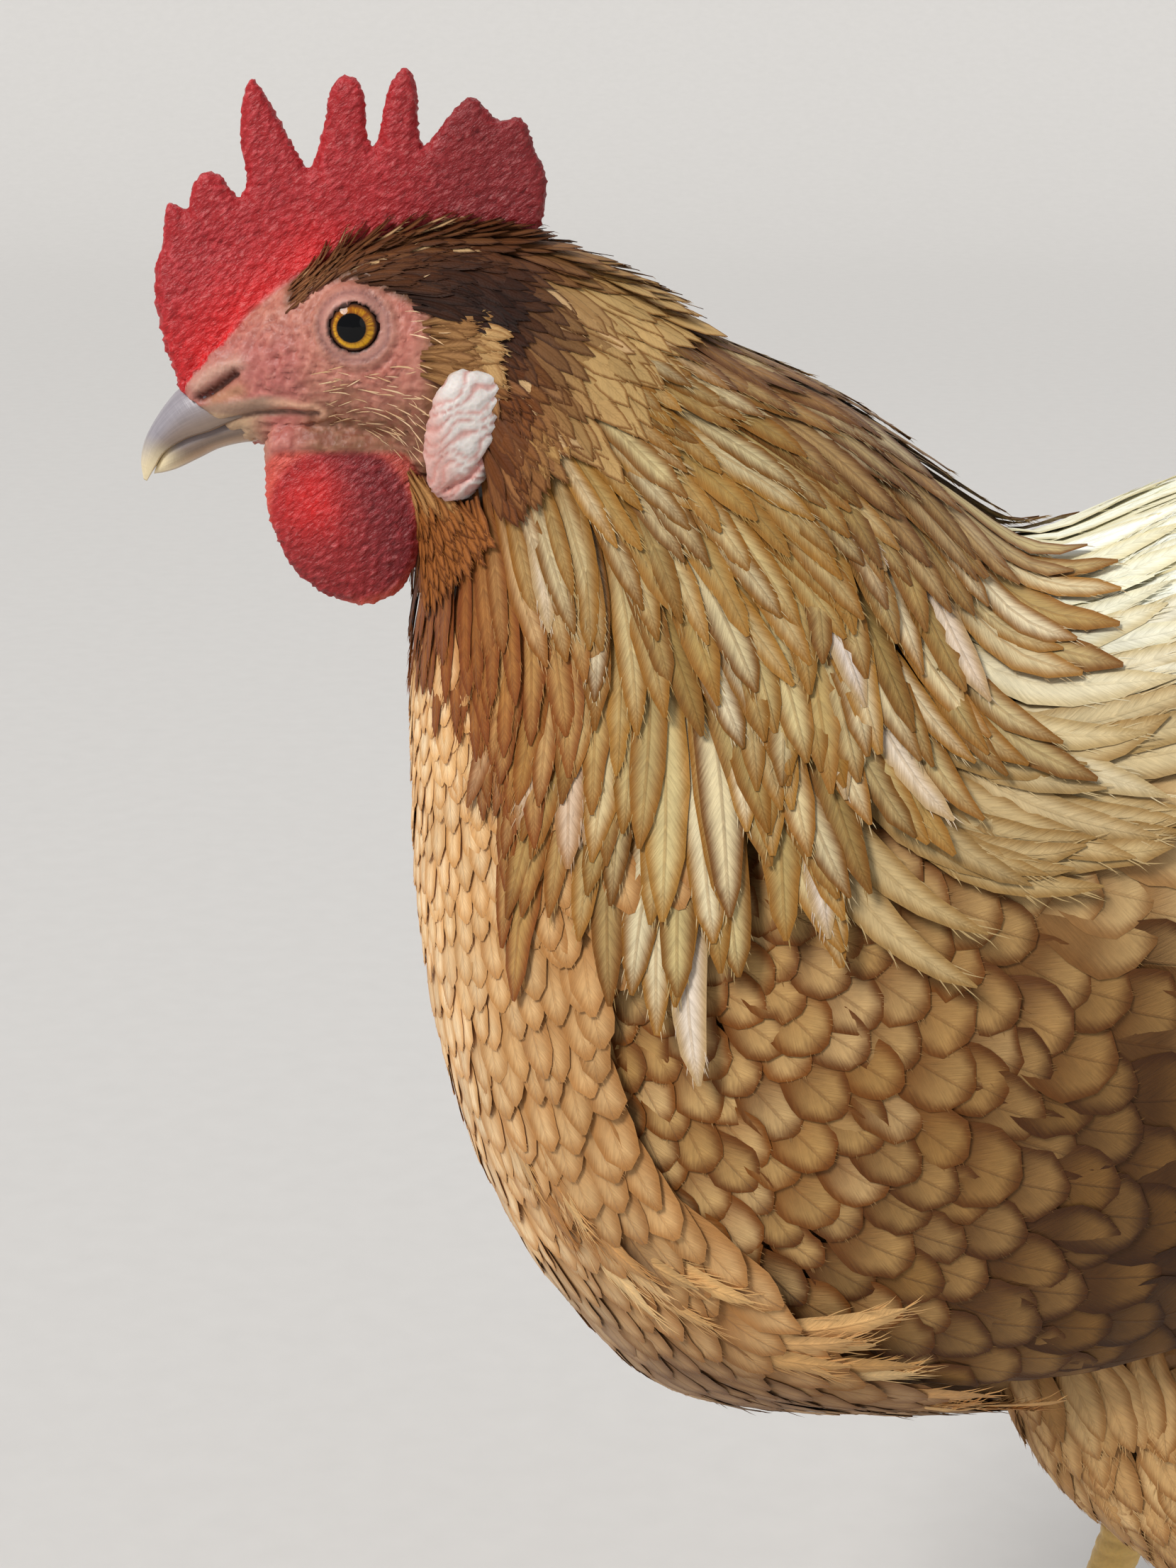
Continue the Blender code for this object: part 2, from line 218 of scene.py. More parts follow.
@dataclass
class Loft:
    """A closed skin through oval rings: P(s, t) = centre + long cos t + cross sin t (1 - low cos t).

    s counts the rows of sections from 0, and t turns from 0 at the upper edge over the outer side.
    """

    centre: Array
    long: Array
    cross: Array
    low: Array
    around: int = 144

    @classmethod
    def body(cls) -> "Loft":
        """The loft of head, neck and trunk.

        Returns:
            The loft.
        """
        bx, bz, fx, fz, width, low = smooth_rows(BODY, PER_ROW).T
        flat = np.zeros_like(bx)
        back, front = np.stack([bx, flat, bz], 1), np.stack([fx, flat, fz], 1)
        cross = np.stack([flat, -width, flat], 1)
        return cls((back + front) / 2, (back - front) / 2, cross, low)

    @classmethod
    def sections(cls, rows: Sequence[Sequence[float]], side: int = -1, leg: bool = False) -> "Loft":
        """A loft through section rows.

        Args:
            rows: x, z, y, half height, half thickness and tilt of each section.
            side: the sign of y of the side it lies on.
            leg: whether it moves ahead with the leg of its side.

        Returns:
            The loft, whose sin t > 0 is the outer side.
        """
        x, z, y, long_half, cross_half, tilt = smooth_rows(rows, PER_ROW).T
        flat, turn = np.zeros_like(x), np.radians(tilt)
        centre = np.stack([x - leg * ahead(side), y * side, z], 1)
        long = np.stack([long_half * np.cos(turn), flat, long_half * np.sin(turn)], 1)
        cross = np.stack([flat, cross_half * side, flat], 1)
        return cls(centre, long, cross, flat)

    def __post_init__(self) -> None:
        """Works out the places, the two slopes and the outward normals on a dense grid.

        The last value is the sign with which out x along_s leads to higher t.
        """
        turn = np.arange(self.around) * (2 * math.pi / self.around)
        swing, sway = np.cos(turn)[None, :, None], np.sin(turn)[None, :, None]
        lean = 1 - self.low[:, None, None] * swing
        ring = self.long[:, None] * swing + self.cross[:, None] * sway * lean
        self.place = self.centre[:, None] + ring
        self.along_s = np.gradient(self.place, axis=0) * PER_ROW
        rolled = np.roll(self.place, -1, 1) - np.roll(self.place, 1, 1)
        self.along_t = rolled * (self.around / (4 * math.pi))
        out = np.cross(self.along_s, self.along_t)
        self.out = unit(out) * np.sign((out * ring).sum(-1).mean())
        self.handed = np.sign((np.cross(self.out, self.along_s) * self.along_t).sum())

    @property
    def last(self) -> float:
        """The highest s."""
        return (len(self.place) - 1) / PER_ROW

    def at(self, s: Array, t: Array, *tables: Array) -> list[Array]:
        """Looks tables up between their grid points, weighted by the four nearest.

        Args:
            s: the row numbers.
            t: the turns, of the same shape.
            *tables: grids such as place, out, along_s or along_t.

        Returns:
            One array for each table.
        """
        row = np.clip(np.asarray(s) * PER_ROW, 0, len(self.place) - 1.001)
        col = (np.asarray(t) / (2 * math.pi)) % 1.0 * self.around
        i, j = row.astype(int), col.astype(int) % self.around
        k, f, g = (j + 1) % self.around, (row - i)[..., None], (col - np.floor(col))[..., None]
        return [
            (a[i, j] * (1 - g) + a[i, k] * g) * (1 - f)
            + (a[i + 1, j] * (1 - g) + a[i + 1, k] * g) * f
            for a in tables
        ]

    def step(self, s: Array, t: Array, way: Array) -> tuple[Array, Array]:
        """The change of (s, t) that moves by a small vector lying on the skin.

        It solves the two by two system of the slopes' dot products.

        Args:
            s: the row numbers.
            t: the turns.
            way: vectors on the skin.

        Returns:
            The changes of s and t.
        """
        ps, pt = self.at(s, t, self.along_s, self.along_t)
        ss, st, tt = (ps * ps).sum(-1), (ps * pt).sum(-1), (pt * pt).sum(-1)
        ws, wt = (way * ps).sum(-1), (way * pt).sum(-1)
        det = np.maximum(ss * tt - st * st, 1e-6)
        return (ws * tt - wt * st) / det, (wt * ss - ws * st) / det

    def lengths(self) -> Array:
        """The distance walked along s from the first row, on the grid."""
        steps = np.linalg.norm(np.diff(self.place, axis=0), axis=-1)
        return np.vstack([np.zeros((1, self.around)), np.cumsum(steps, 0)])[..., None]
def put(rows: bpy.types.bpy_prop_collection, key: str, values: Array, kind: type = np.float32) -> None:
    """Writes a whole array into a mesh's points, corners or faces."""
    rows.foreach_set(key, np.ascontiguousarray(values, kind).ravel())


def link(name: str, data: bpy.types.ID) -> bpy.types.Object:
    """A new object in the scene.

    Args:
        name: the object's name.
        data: its mesh, camera or light.

    Returns:
        The object.
    """
    made = bpy.data.objects.new(name, data)
    bpy.context.scene.collection.objects.link(made)
    return made


def make_object(name: str, shell: Shell, finish: bpy.types.Material) -> bpy.types.Object:
    """A smooth-shaded mesh object from places in hen millimetres.

    Args:
        name: the piece's name.
        shell: an (n, 3) array of places, and arrays of corner numbers, a row for each face.
        finish: its material.

    Returns:
        The object, at the origin, unturned and unscaled.
    """
    places, faces = shell
    mesh = bpy.data.meshes.new(name)
    mesh.vertices.add(len(places))
    put(mesh.vertices, "co", to_metres(places))
    sizes = np.concatenate([np.full(len(part), part.shape[1]) for part in faces])
    mesh.loops.add(int(sizes.sum()))
    put(mesh.loops, "vertex_index", np.concatenate([part.ravel() for part in faces]), np.int32)
    mesh.polygons.add(len(sizes))
    put(mesh.polygons, "loop_start", np.cumsum(sizes) - sizes, np.int32)
    mesh.update(calc_edges=True)
    mesh.shade_smooth()
    mesh.materials.append(finish)
    return link(name, mesh)


def write_attribute(obj: bpy.types.Object, name: str, values: Array) -> None:
    """Keeps one number, vector or colour for each point of a mesh.

    Args:
        obj: the piece.
        name: the attribute's name.
        values: an (n,) array of numbers, or (n, 3) of vectors, or (n, 4) of colours.
    """
    kinds = {1: ("FLOAT", "value"), 3: ("FLOAT_VECTOR", "vector"), 4: ("FLOAT_COLOR", "color")}
    kind, key = kinds[1 if values.ndim == 1 else values.shape[1]]
    put(obj.data.attributes.new(name, kind, "POINT").data, key, values)


def write_tint(obj: bpy.types.Object, name: str, colours: Array) -> None:
    """Keeps screen colours of 0 to 255, one for each point, as scene-linear light."""
    light = linear(colours.clip(0, 255))
    write_attribute(obj, name, np.hstack([light, np.ones((len(light), 1))]))


def read(rows: bpy.types.bpy_prop_collection, key: str) -> Array:
    """Reads vectors from a mesh's points.

    Args:
        rows: the mesh's points or normals.
        key: the vector's name.

    Returns:
        An (n, 3) array.
    """
    flat = np.empty(len(rows) * 3, np.float32)
    rows.foreach_get(key, flat)
    return flat.reshape(-1, 3).astype(float)


def grid_faces(rows: int, columns: int, closed: bool = True) -> Array:
    """Four-cornered faces of a grid of points numbered row by row.

    Args:
        rows: the number of rows.
        columns: the number of points in a row.
        closed: whether the last column joins the first.

    Returns:
        An (m, 4) array of point numbers.
    """
    i, j = np.meshgrid(np.arange(rows - 1), np.arange(columns - (not closed)), indexing="ij")
    here, there = i * columns + j, i * columns + (j + 1) % columns
    return np.stack([here, there, there + columns, here + columns]).reshape(4, -1).T


def end_faces(rows: int, columns: int) -> Array:
    """The two faces that close a tube of rings, one across each end."""
    return np.stack([np.arange(columns)[::-1], np.arange((rows - 1) * columns, rows * columns)])


def tube(place: Array) -> Shell:
    """Rings of points joined into a tube, each end closed by one face."""
    rows, columns = place.shape[:2]
    return place.reshape(-1, 3), [grid_faces(rows, columns), end_faces(rows, columns)]


def circle(count: int) -> Array:
    """Evenly spaced turns, the first at 0."""
    return np.linspace(0, 2 * math.pi, count, endpoint=False)


class Sum:
    """A socket that takes part in Python arithmetic: each operation adds one Math node.

    least is the smaller of two values.
    """

    def __init__(self, tree: bpy.types.NodeTree, socket: bpy.types.NodeSocket) -> None:
        """Keeps the node tree and the output socket."""
        self.tree, self.socket = tree, socket

    def feed(self, entry: bpy.types.NodeSocket) -> None:
        """Links the output to an input."""
        self.tree.links.new(self.socket, entry)

    def _math(self, operation: str, other: "Sum | float" = 0.0) -> "Sum":
        """Adds a Math node on self and another value.

        Args:
            operation: what the node does.
            other: the second value.

        Returns:
            Its output.
        """
        node = self.tree.nodes.new("ShaderNodeMath")
        node.operation = operation
        self.feed(node.inputs[0])
        fill(node.inputs[1], other)
        return Sum(self.tree, node.outputs[0])

    __add__ = partialmethod(_math, "ADD")
    __sub__ = partialmethod(_math, "SUBTRACT")
    __mul__ = partialmethod(_math, "MULTIPLY")
    __abs__ = partialmethod(_math, "ABSOLUTE")
    least = partialmethod(_math, "MINIMUM")

    def step(self, low: float, high: float) -> "Sum":
        """A smooth step from 0 at low to 1 at high; it falls where low is above high.

        Args:
            low: the value where the step starts.
            high: the value where it ends.

        Returns:
            The step's output.
        """
        node = self.tree.nodes.new("ShaderNodeMapRange")
        node.interpolation_type = "SMOOTHSTEP"
        self.feed(node.inputs["Value"])
        ends = (low, 0.0, high, 1.0) if low < high else (high, 1.0, low, 0.0)
        for name, value in zip(("From Min", "To Min", "From Max", "To Max"), ends):
            node.inputs[name].default_value = value
        return Sum(self.tree, node.outputs[0])


def fill(entry: bpy.types.NodeSocket, value: object) -> None:
    """Links a Sum to an input, or sets anything else on it as a constant.

    Args:
        entry: the input.
        value: a Sum or a constant.
    """
    if isinstance(value, Sum):
        value.feed(entry)
    else:
        entry.default_value = value


class Finish:
    """A material under construction: one Principled shader and the nodes that feed it."""

    def __init__(self, name: str, **constants: float | Colour) -> None:
        """Starts the material with constants on the shader's sockets, _ for a space in a name.

        Args:
            name: the material's name.
            **constants: the values.
        """
        self.material = bpy.data.materials.new(name)
        self.material.use_nodes = True
        self.tree = self.material.node_tree
        self.shader = next(n for n in self.tree.nodes if n.type == "BSDF_PRINCIPLED")
        for key, value in constants.items():
            self.shader.inputs[key.replace("_", " ")].default_value = value

    def node(
        self, kind: str, settings: dict[str, str] | None = None, out: int | str = 0, **sockets: object
    ) -> Sum:
        """Adds any node: its settings are set first, then its sockets.

        Args:
            kind: the node's type without the ShaderNode in front.
            settings: properties such as operation.
            out: the output that is returned.
            **sockets: values or outputs for the inputs, by name with _ for a space, or in_0 and so
                on by number.

        Returns:
            The chosen output.
        """
        node = self.tree.nodes.new("ShaderNode" + kind)
        for key, value in (settings or {}).items():
            setattr(node, key, value)
        for key, value in sockets.items():
            fill(node.inputs[int(key[3:]) if key.startswith("in_") else key.replace("_", " ")], value)
        return Sum(self.tree, node.outputs[out])

    def attribute(self, name: str, out: str = "Color") -> Sum:
        """The Color, Vector or Fac of a mesh attribute."""
        return self.node("Attribute", {"attribute_name": name}, out)

    def object_place(self) -> Sum:
        """The place on the object in metres."""
        return self.node("TexCoord", out="Object")

    def noise(self, place: Sum, per_metre: float, detail: float = 2.0, rough: float = 0.5) -> Sum:
        """Noise from 0 to 1 with so many cells per metre."""
        return self.node("TexNoise", Vector=place, Scale=per_metre, Detail=detail, Roughness=rough)

    def parts(self, vector: Sum) -> list[Sum]:
        """The x, y and z of a vector."""
        first = self.node("SeparateXYZ", in_0=vector)
        return [Sum(self.tree, o) for o in first.socket.node.outputs]

    def vector(self, x: Sum | float, y: Sum | float, z: Sum | float = 0.0) -> Sum:
        """A vector from three values."""
        return self.node("CombineXYZ", in_0=x, in_1=y, in_2=z)

    def blend(self, colour: Sum | Colour, *layers: tuple[Sum | Colour, Sum]) -> Sum:
        """A colour painted over with others; each is an output, or a screen colour of 0 to 255.

        Args:
            colour: the first colour.
            *layers: the colours over it and their shares, from the lowest to the highest.

        Returns:
            The colour of the whole.
        """
        for over, share in layers:
            a, b = (c if isinstance(c, Sum) else (*linear(c), 1.0) for c in (colour, over))
            colour = self.node("Mix", {"data_type": "RGBA"}, 2, in_0=share, in_6=a, in_7=b)
        return colour

    def brighten(self, colour: Sum, factor: Sum) -> Sum:
        """A colour multiplied by a number that varies over the surface."""
        return self.node("VectorMath", {"operation": "SCALE"}, in_0=colour, Scale=factor)

    def end(
        self, colour: Sum, roughness: Sum | None = None, height: Sum | None = None, depth: float = 0.0
    ) -> bpy.types.Material:
        """Links what changes over the surface and returns the material.

        Args:
            colour: the base colour.
            roughness: the roughness.
            height: the relief from 0 to 1, for a Bump node.
            depth: the depth of the relief in metres.

        Returns:
            The finished material.
        """
        colour.feed(self.shader.inputs["Base Color"])
        if roughness:
            roughness.feed(self.shader.inputs["Roughness"])
        if height:
            bump = self.node("Bump", Height=height, Distance=depth, Strength=1.0)
            bump.feed(self.shader.inputs["Normal"])
        return self.material


class Vane(Enum):
    """The outlines of feathers: where each is widest, and the power and root of its taper."""

    HACKLE = (0.6, 2.3, 0.62)
    LANCE = (0.66, 1.7, 0.72)
    ROUND = (0.6, 2.0, 0.5)
    LOOSE = (0.45, 1.7, 0.7)
    FLIGHT = (0.25, 3.2, 0.5)

    def width(self, v: Array) -> Array:
        """The share of the full width at v, from 0 at the root to 1 at the tip.

        It swells to the widest place and falls from there as (1 - share^power)^root.

        Args:
            v: the way from root to tip.

        Returns:
            Shares of the full width.
        """
        swell, power, root = self.value
        fall = np.clip((v - swell) / (1 - swell), 0, 1)
        return (0.35 + 0.65 * ease(0, swell, v)) * (1 - fall**power) ** root


@dataclass(frozen=True)
class Cut:
    """How the feathers of one tract are made, in millimetres and degrees."""

    vane: Vane
    length: float
    width: float
    depth: float  # how far a root lies under the outer face
    lift: float = 0.0  # how far a tip stands over it
    rows: int = 8
    arch: float = 0.03
    stray: float = 6.0  # how far a feather turns out of line
    bend: float = 4.0  # how far it curves along its length
    vary: float = 0.12
    barbs: int = 0
    barb_length: float = 2.5
    barb_start: float = 0.4
    barb_spread: float = 28.0  # from the shaft
    barb_width: float = 0.16


@dataclass
class Wall:
    """The outer face of a wing as a height map of the distance from the middle plane."""

    wing: Loft
    body: Loft
    side: int
    cell: float = 1.5
    corner: tuple[float, float] = (30.0, -175.0)  # x and z
    cells: tuple[int, int] = (220, 170)

    def __post_init__(self) -> None:
        """Maps the wing's face, and how far it stands proud of the body.

        The share that stands proud is widened to its neighbours and averaged with them a few times,
        so that feathers drape over the step.
        """
        self.table = self._map(self.wing)
        self.proud = np.maximum(self.table - self._map(self.body), 0) * (self.table > 0)
        for times, combine in ((6, np.max), (28, np.mean)):
            for _ in range(times):
                near = [np.roll(self.proud, (i, j), (0, 1)) for i in (-1, 0, 1) for j in (-1, 0, 1)]
                self.proud = combine(near, 0)

    def _cell(self, place: Array) -> list[Array]:
        """Places as column and row numbers with fractions."""
        return [(place[..., axis] - low) / self.cell for axis, low in zip((0, 2), self.corner)]

    def _map(self, loft: Loft) -> Array:
        """The distance from the middle plane of a loft's outer half: the furthest in each cell.

        Args:
            loft: the loft.

        Returns:
            A grid of distances, 0 where there is no loft.
        """
        s, t = np.meshgrid(np.linspace(0, loft.last, 1400), np.linspace(0, math.pi, 700))
        (place,) = loft.at(s, t, loft.place)
        table = np.zeros(self.cells)
        i, j = (at.astype(int).clip(0, n - 1) for at, n in zip(self._cell(place), self.cells))
        np.maximum.at(table, (i, j), np.abs(place[..., 1]))
        return table

    def reach(self, place: Array, table: Array) -> Array:
        """A map read at places, between the centres of the four nearest cells.

        Args:
            place: places in hen millimetres.
            table: the map.

        Returns:
            A number for each place.
        """
        a, b = (np.clip(at - 0.5, 0, n - 1.01) for at, n in zip(self._cell(place), self.cells))
        i, j = a.astype(int), b.astype(int)
        f, g = a - i, b - j
        low = table[i, j] * (1 - g) + table[i, j + 1] * g
        return low * (1 - f) + (table[i + 1, j] * (1 - g) + table[i + 1, j + 1] * g) * f

    def covers(self, place: Array, margin: float) -> Array:
        """Whether the wing's face stands further out than places by a margin."""
        return self.reach(place, self.table) > np.abs(place[:, 1]) + margin


@dataclass
class Rings:
    """Grown feathers: (feathers, rings, 6, 3) places, and the directions at each ring."""

    place: Array
    v: Array
    way: Array
    side: Array
    out: Array


ACROSS = np.array((-1.0, -0.5, 0.0, 0.5, 1.0, 0.0))  # a ring's points over the face, and underneath


@dataclass
class Tract:
    """Feathers of one kind on one loft: sown, coloured, then grown as closed thin vanes.

    Each feather is a tube of rings of six points: five over its face from edge to edge, and one
    under its shaft.  A ring's place is found by walking from the root in small steps on the loft.
    """

    loft: Loft
    cut: Cut
    seed: int
    wall: Wall | None = None
    side: int = -1  # the side of the hen, where the loft is of both
    turn: Array | float = 0.0  # degrees from the lie of the loft, towards higher t
    size: Array | float = 1.0
    raise_tip: Array | float = 0.0
    deep: Array | float = 1.0  # the share of the cut's depth at each root

    def __post_init__(self) -> None:
        """Starts the random numbers of the layout."""
        self.rng = np.random.default_rng(self.seed)

    def sow(
        self, s_range: Range, half: Range, gap: Spacing, across: Spacing, jitter: float
    ) -> None:
        """Staggered rows of feather roots, evenly spaced on the skin.

        A row is the line of places at one distance walked along s from the first, so rows stay as
        far apart at the belly as at the back.

        Args:
            s_range: the first and last s.
            half: the first and last turn in half turns, from the back line over this side.
            gap: the spacing of the rows.
            across: the spacing in a row.
            jitter: the share of the spacing that a root strays.
        """
        loft, rng = self.loft, self.rng
        first, last = half if self.side < 0 else (2 - half[1], 2 - half[0])
        turns = np.linspace(first * math.pi, last * math.pi, 240)
        rows = np.linspace(*s_range, 300)
        grid = np.meshgrid(rows, turns, indexing="ij")
        walked, place = loft.at(*grid, loft.lengths(), loft.place)
        walked = walked[..., 0] - walked[:1, :, 0]
        found, distance, stagger = [], 0.0, 0.0
        while distance < walked[-1].max():
            next_row, step = (
                start + min(distance, until) * growth for start, growth, until in (gap, across)
            )
            row = (walked < distance).sum(0)
            inside = row < len(rows)
            row = np.minimum(row, len(rows) - 1)
            line = place[row, np.arange(len(turns))]
            run = np.concatenate([[0], np.cumsum(np.linalg.norm(np.diff(line, axis=0), axis=1))])
            marks = (np.arange(max(int(run[-1] / step), 1)) + 0.25 + stagger) * step
            marks = marks + rng.normal(0, jitter, len(marks)) * step
            t = np.interp(marks, run, turns)
            s = np.interp(t, turns, rows[row])
            keep = np.interp(t, turns, inside.astype(float)) > 0.99
            slope = np.linalg.norm(loft.at(s, t, loft.along_s)[0], axis=-1)
            s = s + rng.normal(0, jitter, len(marks)) * next_row / np.maximum(slope, 3)
            found.append((s[keep], t[keep]))
            distance += next_row
            stagger = 0.5 - stagger
        self.s, self.t = (np.concatenate(part) for part in zip(*found))

    def ends(self, length: Array | float = 0.0) -> list[Array]:
        """The places of roots and, a feather's length along the skin, of tips.

        Args:
            length: the feathers' lengths.

        Returns:
            The roots and the tips.
        """
        s, t, loft = self.s, self.t, self.loft
        for share in (0.5, 1.0):
            slope = np.linalg.norm(loft.at(s, t, loft.along_s)[0], axis=-1)
            s = self.s + length * share / np.maximum(slope, 4)
        return [loft.at(row, t, loft.place)[0] for row in (self.s, s)]

    def keep(self, which: Array, *rows: Array) -> list[Array]:
        """Leaves out roots, and the same rows of other arrays."""
        self.s, self.t = self.s[which], self.t[which]
        return [row[which] for row in rows]

    def dye(
        self, grounds: Sequence[Colour], laces: Sequence[Colour] | float, stray: Sequence[float] = (5, 5)
    ) -> None:
        """Colours each feather's ground and dark edge with a random mixture and stray brightness.

        Args:
            grounds: the colours that the ground is mixed from.
            laces: those of the edge, or the share of the ground's brightness that it has.
            stray: how much the brightness of ground and edge strays.
        """
        made = []
        for colours, spread in zip((grounds, laces), stray):
            if isinstance(colours, float):
                made.append(made[0] * colours)
                continue
            shares = self.rng.dirichlet(np.full(len(colours), 0.7), len(self.s))
            noise = self.rng.normal(0, spread, (len(self.s), 1))
            made.append(shares @ np.asarray(colours, float) + noise)
        self.ground, self.lace = made

    def tone(
        self, ground: Colour, share: Array, lace: Colour | None = None, edge_share: Array | None = None
    ) -> None:
        """Turns the colours towards others.

        Args:
            ground: the ground's new colour.
            share: how far each feather turns to it.
            lace: the edge's new colour, if it turns.
            edge_share: how far the edge turns, if not as far as the ground.
        """
        self.ground = mix(self.ground, ground, share)
        if lace:
            self.lace = mix(self.lace, lace, share if edge_share is None else edge_share)

    def build(self) -> dict[str, Array]:
        """Works out all points, faces and attributes of the tract.

        Returns:
            Arrays by name: place, quads, tris, caps, ground, lace, vane, normal and bake.
        """
        cut, loft, count = self.cut, self.loft, len(self.s)
        rng = np.random.default_rng(self.seed + 1)
        size = self.size * rng.normal(1, cut.vary * 0.6, count).clip(0.7, 1.3)
        length, width = cut.length * size, cut.width * size * rng.normal(1, 0.05, count)
        turn = np.radians(self.turn + rng.normal(0, cut.stray, count))
        bend = np.radians(rng.normal(0, cut.bend, count))
        v = np.linspace(0, 1, cut.rows) ** 0.85
        v[-1] = 0.995
        s, t, walked, walk = self.s, self.t, 0.0, []
        for v_now in v:
            step = (v_now - walked) * length / 2
            angle = (turn + bend * v_now)[:, None]
            for _ in range(2):
                out, onward = loft.at(s, t, loft.out, loft.along_s)
                aside = np.cross(out, unit(onward)) * loft.handed
                way = unit(onward) * np.cos(angle) + aside * np.sin(angle)
                ds, dt = loft.step(s, t, way * step[:, None])
                s, t = np.clip(s + ds, 0, loft.last), t + dt
            walked = v_now
            walk.append((s, t, way))
        s, t, way = (np.stack(part, 1) for part in zip(*walk))
        middle, out = loft.at(s, t, loft.place, loft.out)
        side = unit(np.cross(out, way))
        shape = cut.vane.width(v)
        half = shape * width[:, None] / 2
        half = half * (1 + 0.10 * rng.normal(size=half.shape) * ease(0.4, 1, v))
        spread = half[:, :, None] * ACROSS
        shift = side[:, :, None] * spread[..., None]
        wide_s, wide_t = (np.repeat(part[:, :, None], 6, 2) for part in (s, t))
        ds, dt = loft.step(wide_s, wide_t, shift)
        wide_s = np.clip(wide_s + ds, 0, loft.last)
        place, outward = loft.at(wide_s, wide_t + dt, loft.place, loft.out)
        past = (s[:, -1] >= loft.last - 0.01)[:, None, None, None]
        place = np.where(past, middle[:, :, None] + shift, place)
        tip = self.raise_tip + cut.lift + rng.normal(0, 0.11 + cut.depth * 0.015, count)
        deep = cut.depth * rng.uniform(0.9, 1.1, count) * self.deep
        height = tip[:, None] * v**2 - deep[:, None] * ((1 - v) ** 1.5 + 0.5 * ease(0.22, 0, v))
        arch = (cut.arch * width[:, None] * shape)[:, :, None] * (1 - ACROSS**2)
        twist = rng.normal(0, 0.04, count)[:, None, None] * spread
        thick = (np.arange(6) == 5) * min(0.28, 0.05 * cut.width)
        place = place + outward * (height[:, :, None] + arch + twist - thick)[..., None]
        if self.wall:
            drape = self.wall.reach(place, self.wall.proud)
            drape = drape + ease(0.5, 6.0, drape) * (0.8 + 1.6 * v[:, None] ** 2)
            same = np.sign(place[..., 1]) == self.wall.side
            place[..., 1] += self.wall.side * np.where(same, drape, 0)
        lean = way * rng.normal(0, 0.10, (count, 1, 1)) + side * rng.normal(0, 0.12, (count, 1, 1))
        round_off = side[:, :, None] * (ACROSS * (0.04 + 2 * cut.arch))[:, None]
        normal = unit(outward + lean[:, :, None] + round_off)
        normal = normal * np.where(np.arange(6) == 5, -1, 1)[:, None]
        from_tip = (1 - v)[:, None] * length[:, None, None]
        vane = np.broadcast_arrays(spread, from_tip, half[:, :, None] - np.abs(spread))
        on_patch = np.stack(np.broadcast_arrays((ACROSS + 1) / 2, v[:, None]), -1)
        corner = self._patches()
        first = (np.arange(count) * cut.rows * 6)[:, None, None]
        made = {
            "quads": (grid_faces(cut.rows, 6) + first).reshape(-1, 4),
            "tris": np.empty((0, 3), int),
            "caps": (end_faces(cut.rows, 6) + first).reshape(-1, 6),
            "place": place.reshape(-1, 3),
            "normal": normal.reshape(-1, 3),
            "vane": np.stack(vane, -1).reshape(-1, 3),
            "bake": (corner[:, None, None] + on_patch * PATCH * 0.9).reshape(-1, 2),
            "ground": np.repeat(self.ground, cut.rows * 6, 0),
            "lace": np.repeat(self.lace, cut.rows * 6, 0),
        }
        if cut.barbs:
            self._add_barbs(made, Rings(place, v, way, side, out), corner, rng)
        return made

    def _add_barbs(
        self, made: dict[str, Array], rings: Rings, corner: Array, rng: np.random.Generator
    ) -> None:
        """Adds thin closed spikes of seven points that leave the vane's edges towards the tip.

        Args:
            made: the arrays, which grow.
            rings: the feathers' rings.
            corner: each feather's corner on the bake map.
            rng: the random numbers.
        """
        cut, place, (count, rows) = self.cut, rings.place, rings.place.shape[:2]
        shape = (count, cut.barbs)
        at = cut.barb_start + (1 - cut.barb_start) * rng.uniform(0, 1, shape) ** 0.8
        row = np.interp(at, rings.v, np.arange(rows)).clip(0, rows - 1.001)
        n, i, f = np.arange(count)[:, None], row.astype(int), (row % 1)[..., None]
        hand = np.where(rng.uniform(size=shape) < 0.5, -1.0, 1.0)[..., None]
        edge = np.where(hand < 0, 0, 4)[..., 0]
        rim, middle = (place[n, i, k] * (1 - f) + place[n, i + 1, k] * f for k in (edge, 2))
        root = rim * 0.85 + middle * 0.15
        spread = np.radians(cut.barb_spread * rng.uniform(0.5, 1.3, shape))[..., None]
        way, beside, out = rings.way[n, i], rings.side[n, i] * hand, rings.out[n, i]
        lean = rng.normal(0, 0.10, shape)[..., None] + 0.03
        reach = (cut.barb_length * rng.uniform(0.5, 1.2, shape) * (1 - 0.3 * at))[..., None]
        go = unit(way * np.cos(spread) + beside * np.sin(spread) + out * lean)
        wide = unit(np.cross(go, out)) * cut.barb_width / 2
        mid = root + go * reach * 0.55 + out * reach * 0.02
        curl = rng.normal(0, 0.12, shape)[..., None]
        end = mid + unit(go + beside * curl - out * 0.05) * reach * 0.45
        under = out * cut.barb_width * 0.7
        foot = [root - wide, root + wide, root - under]
        waist = [mid - wide * 0.8, mid + wide * 0.8, mid - under * 0.8]
        each, total = cut.barbs * 7, count * cut.barbs * 7
        base = len(made["place"]) + np.arange(0, total, 7)[:, None, None]
        along = np.tile(np.linspace(0.1, 0.8, 7), total // 7)[:, None] * PATCH
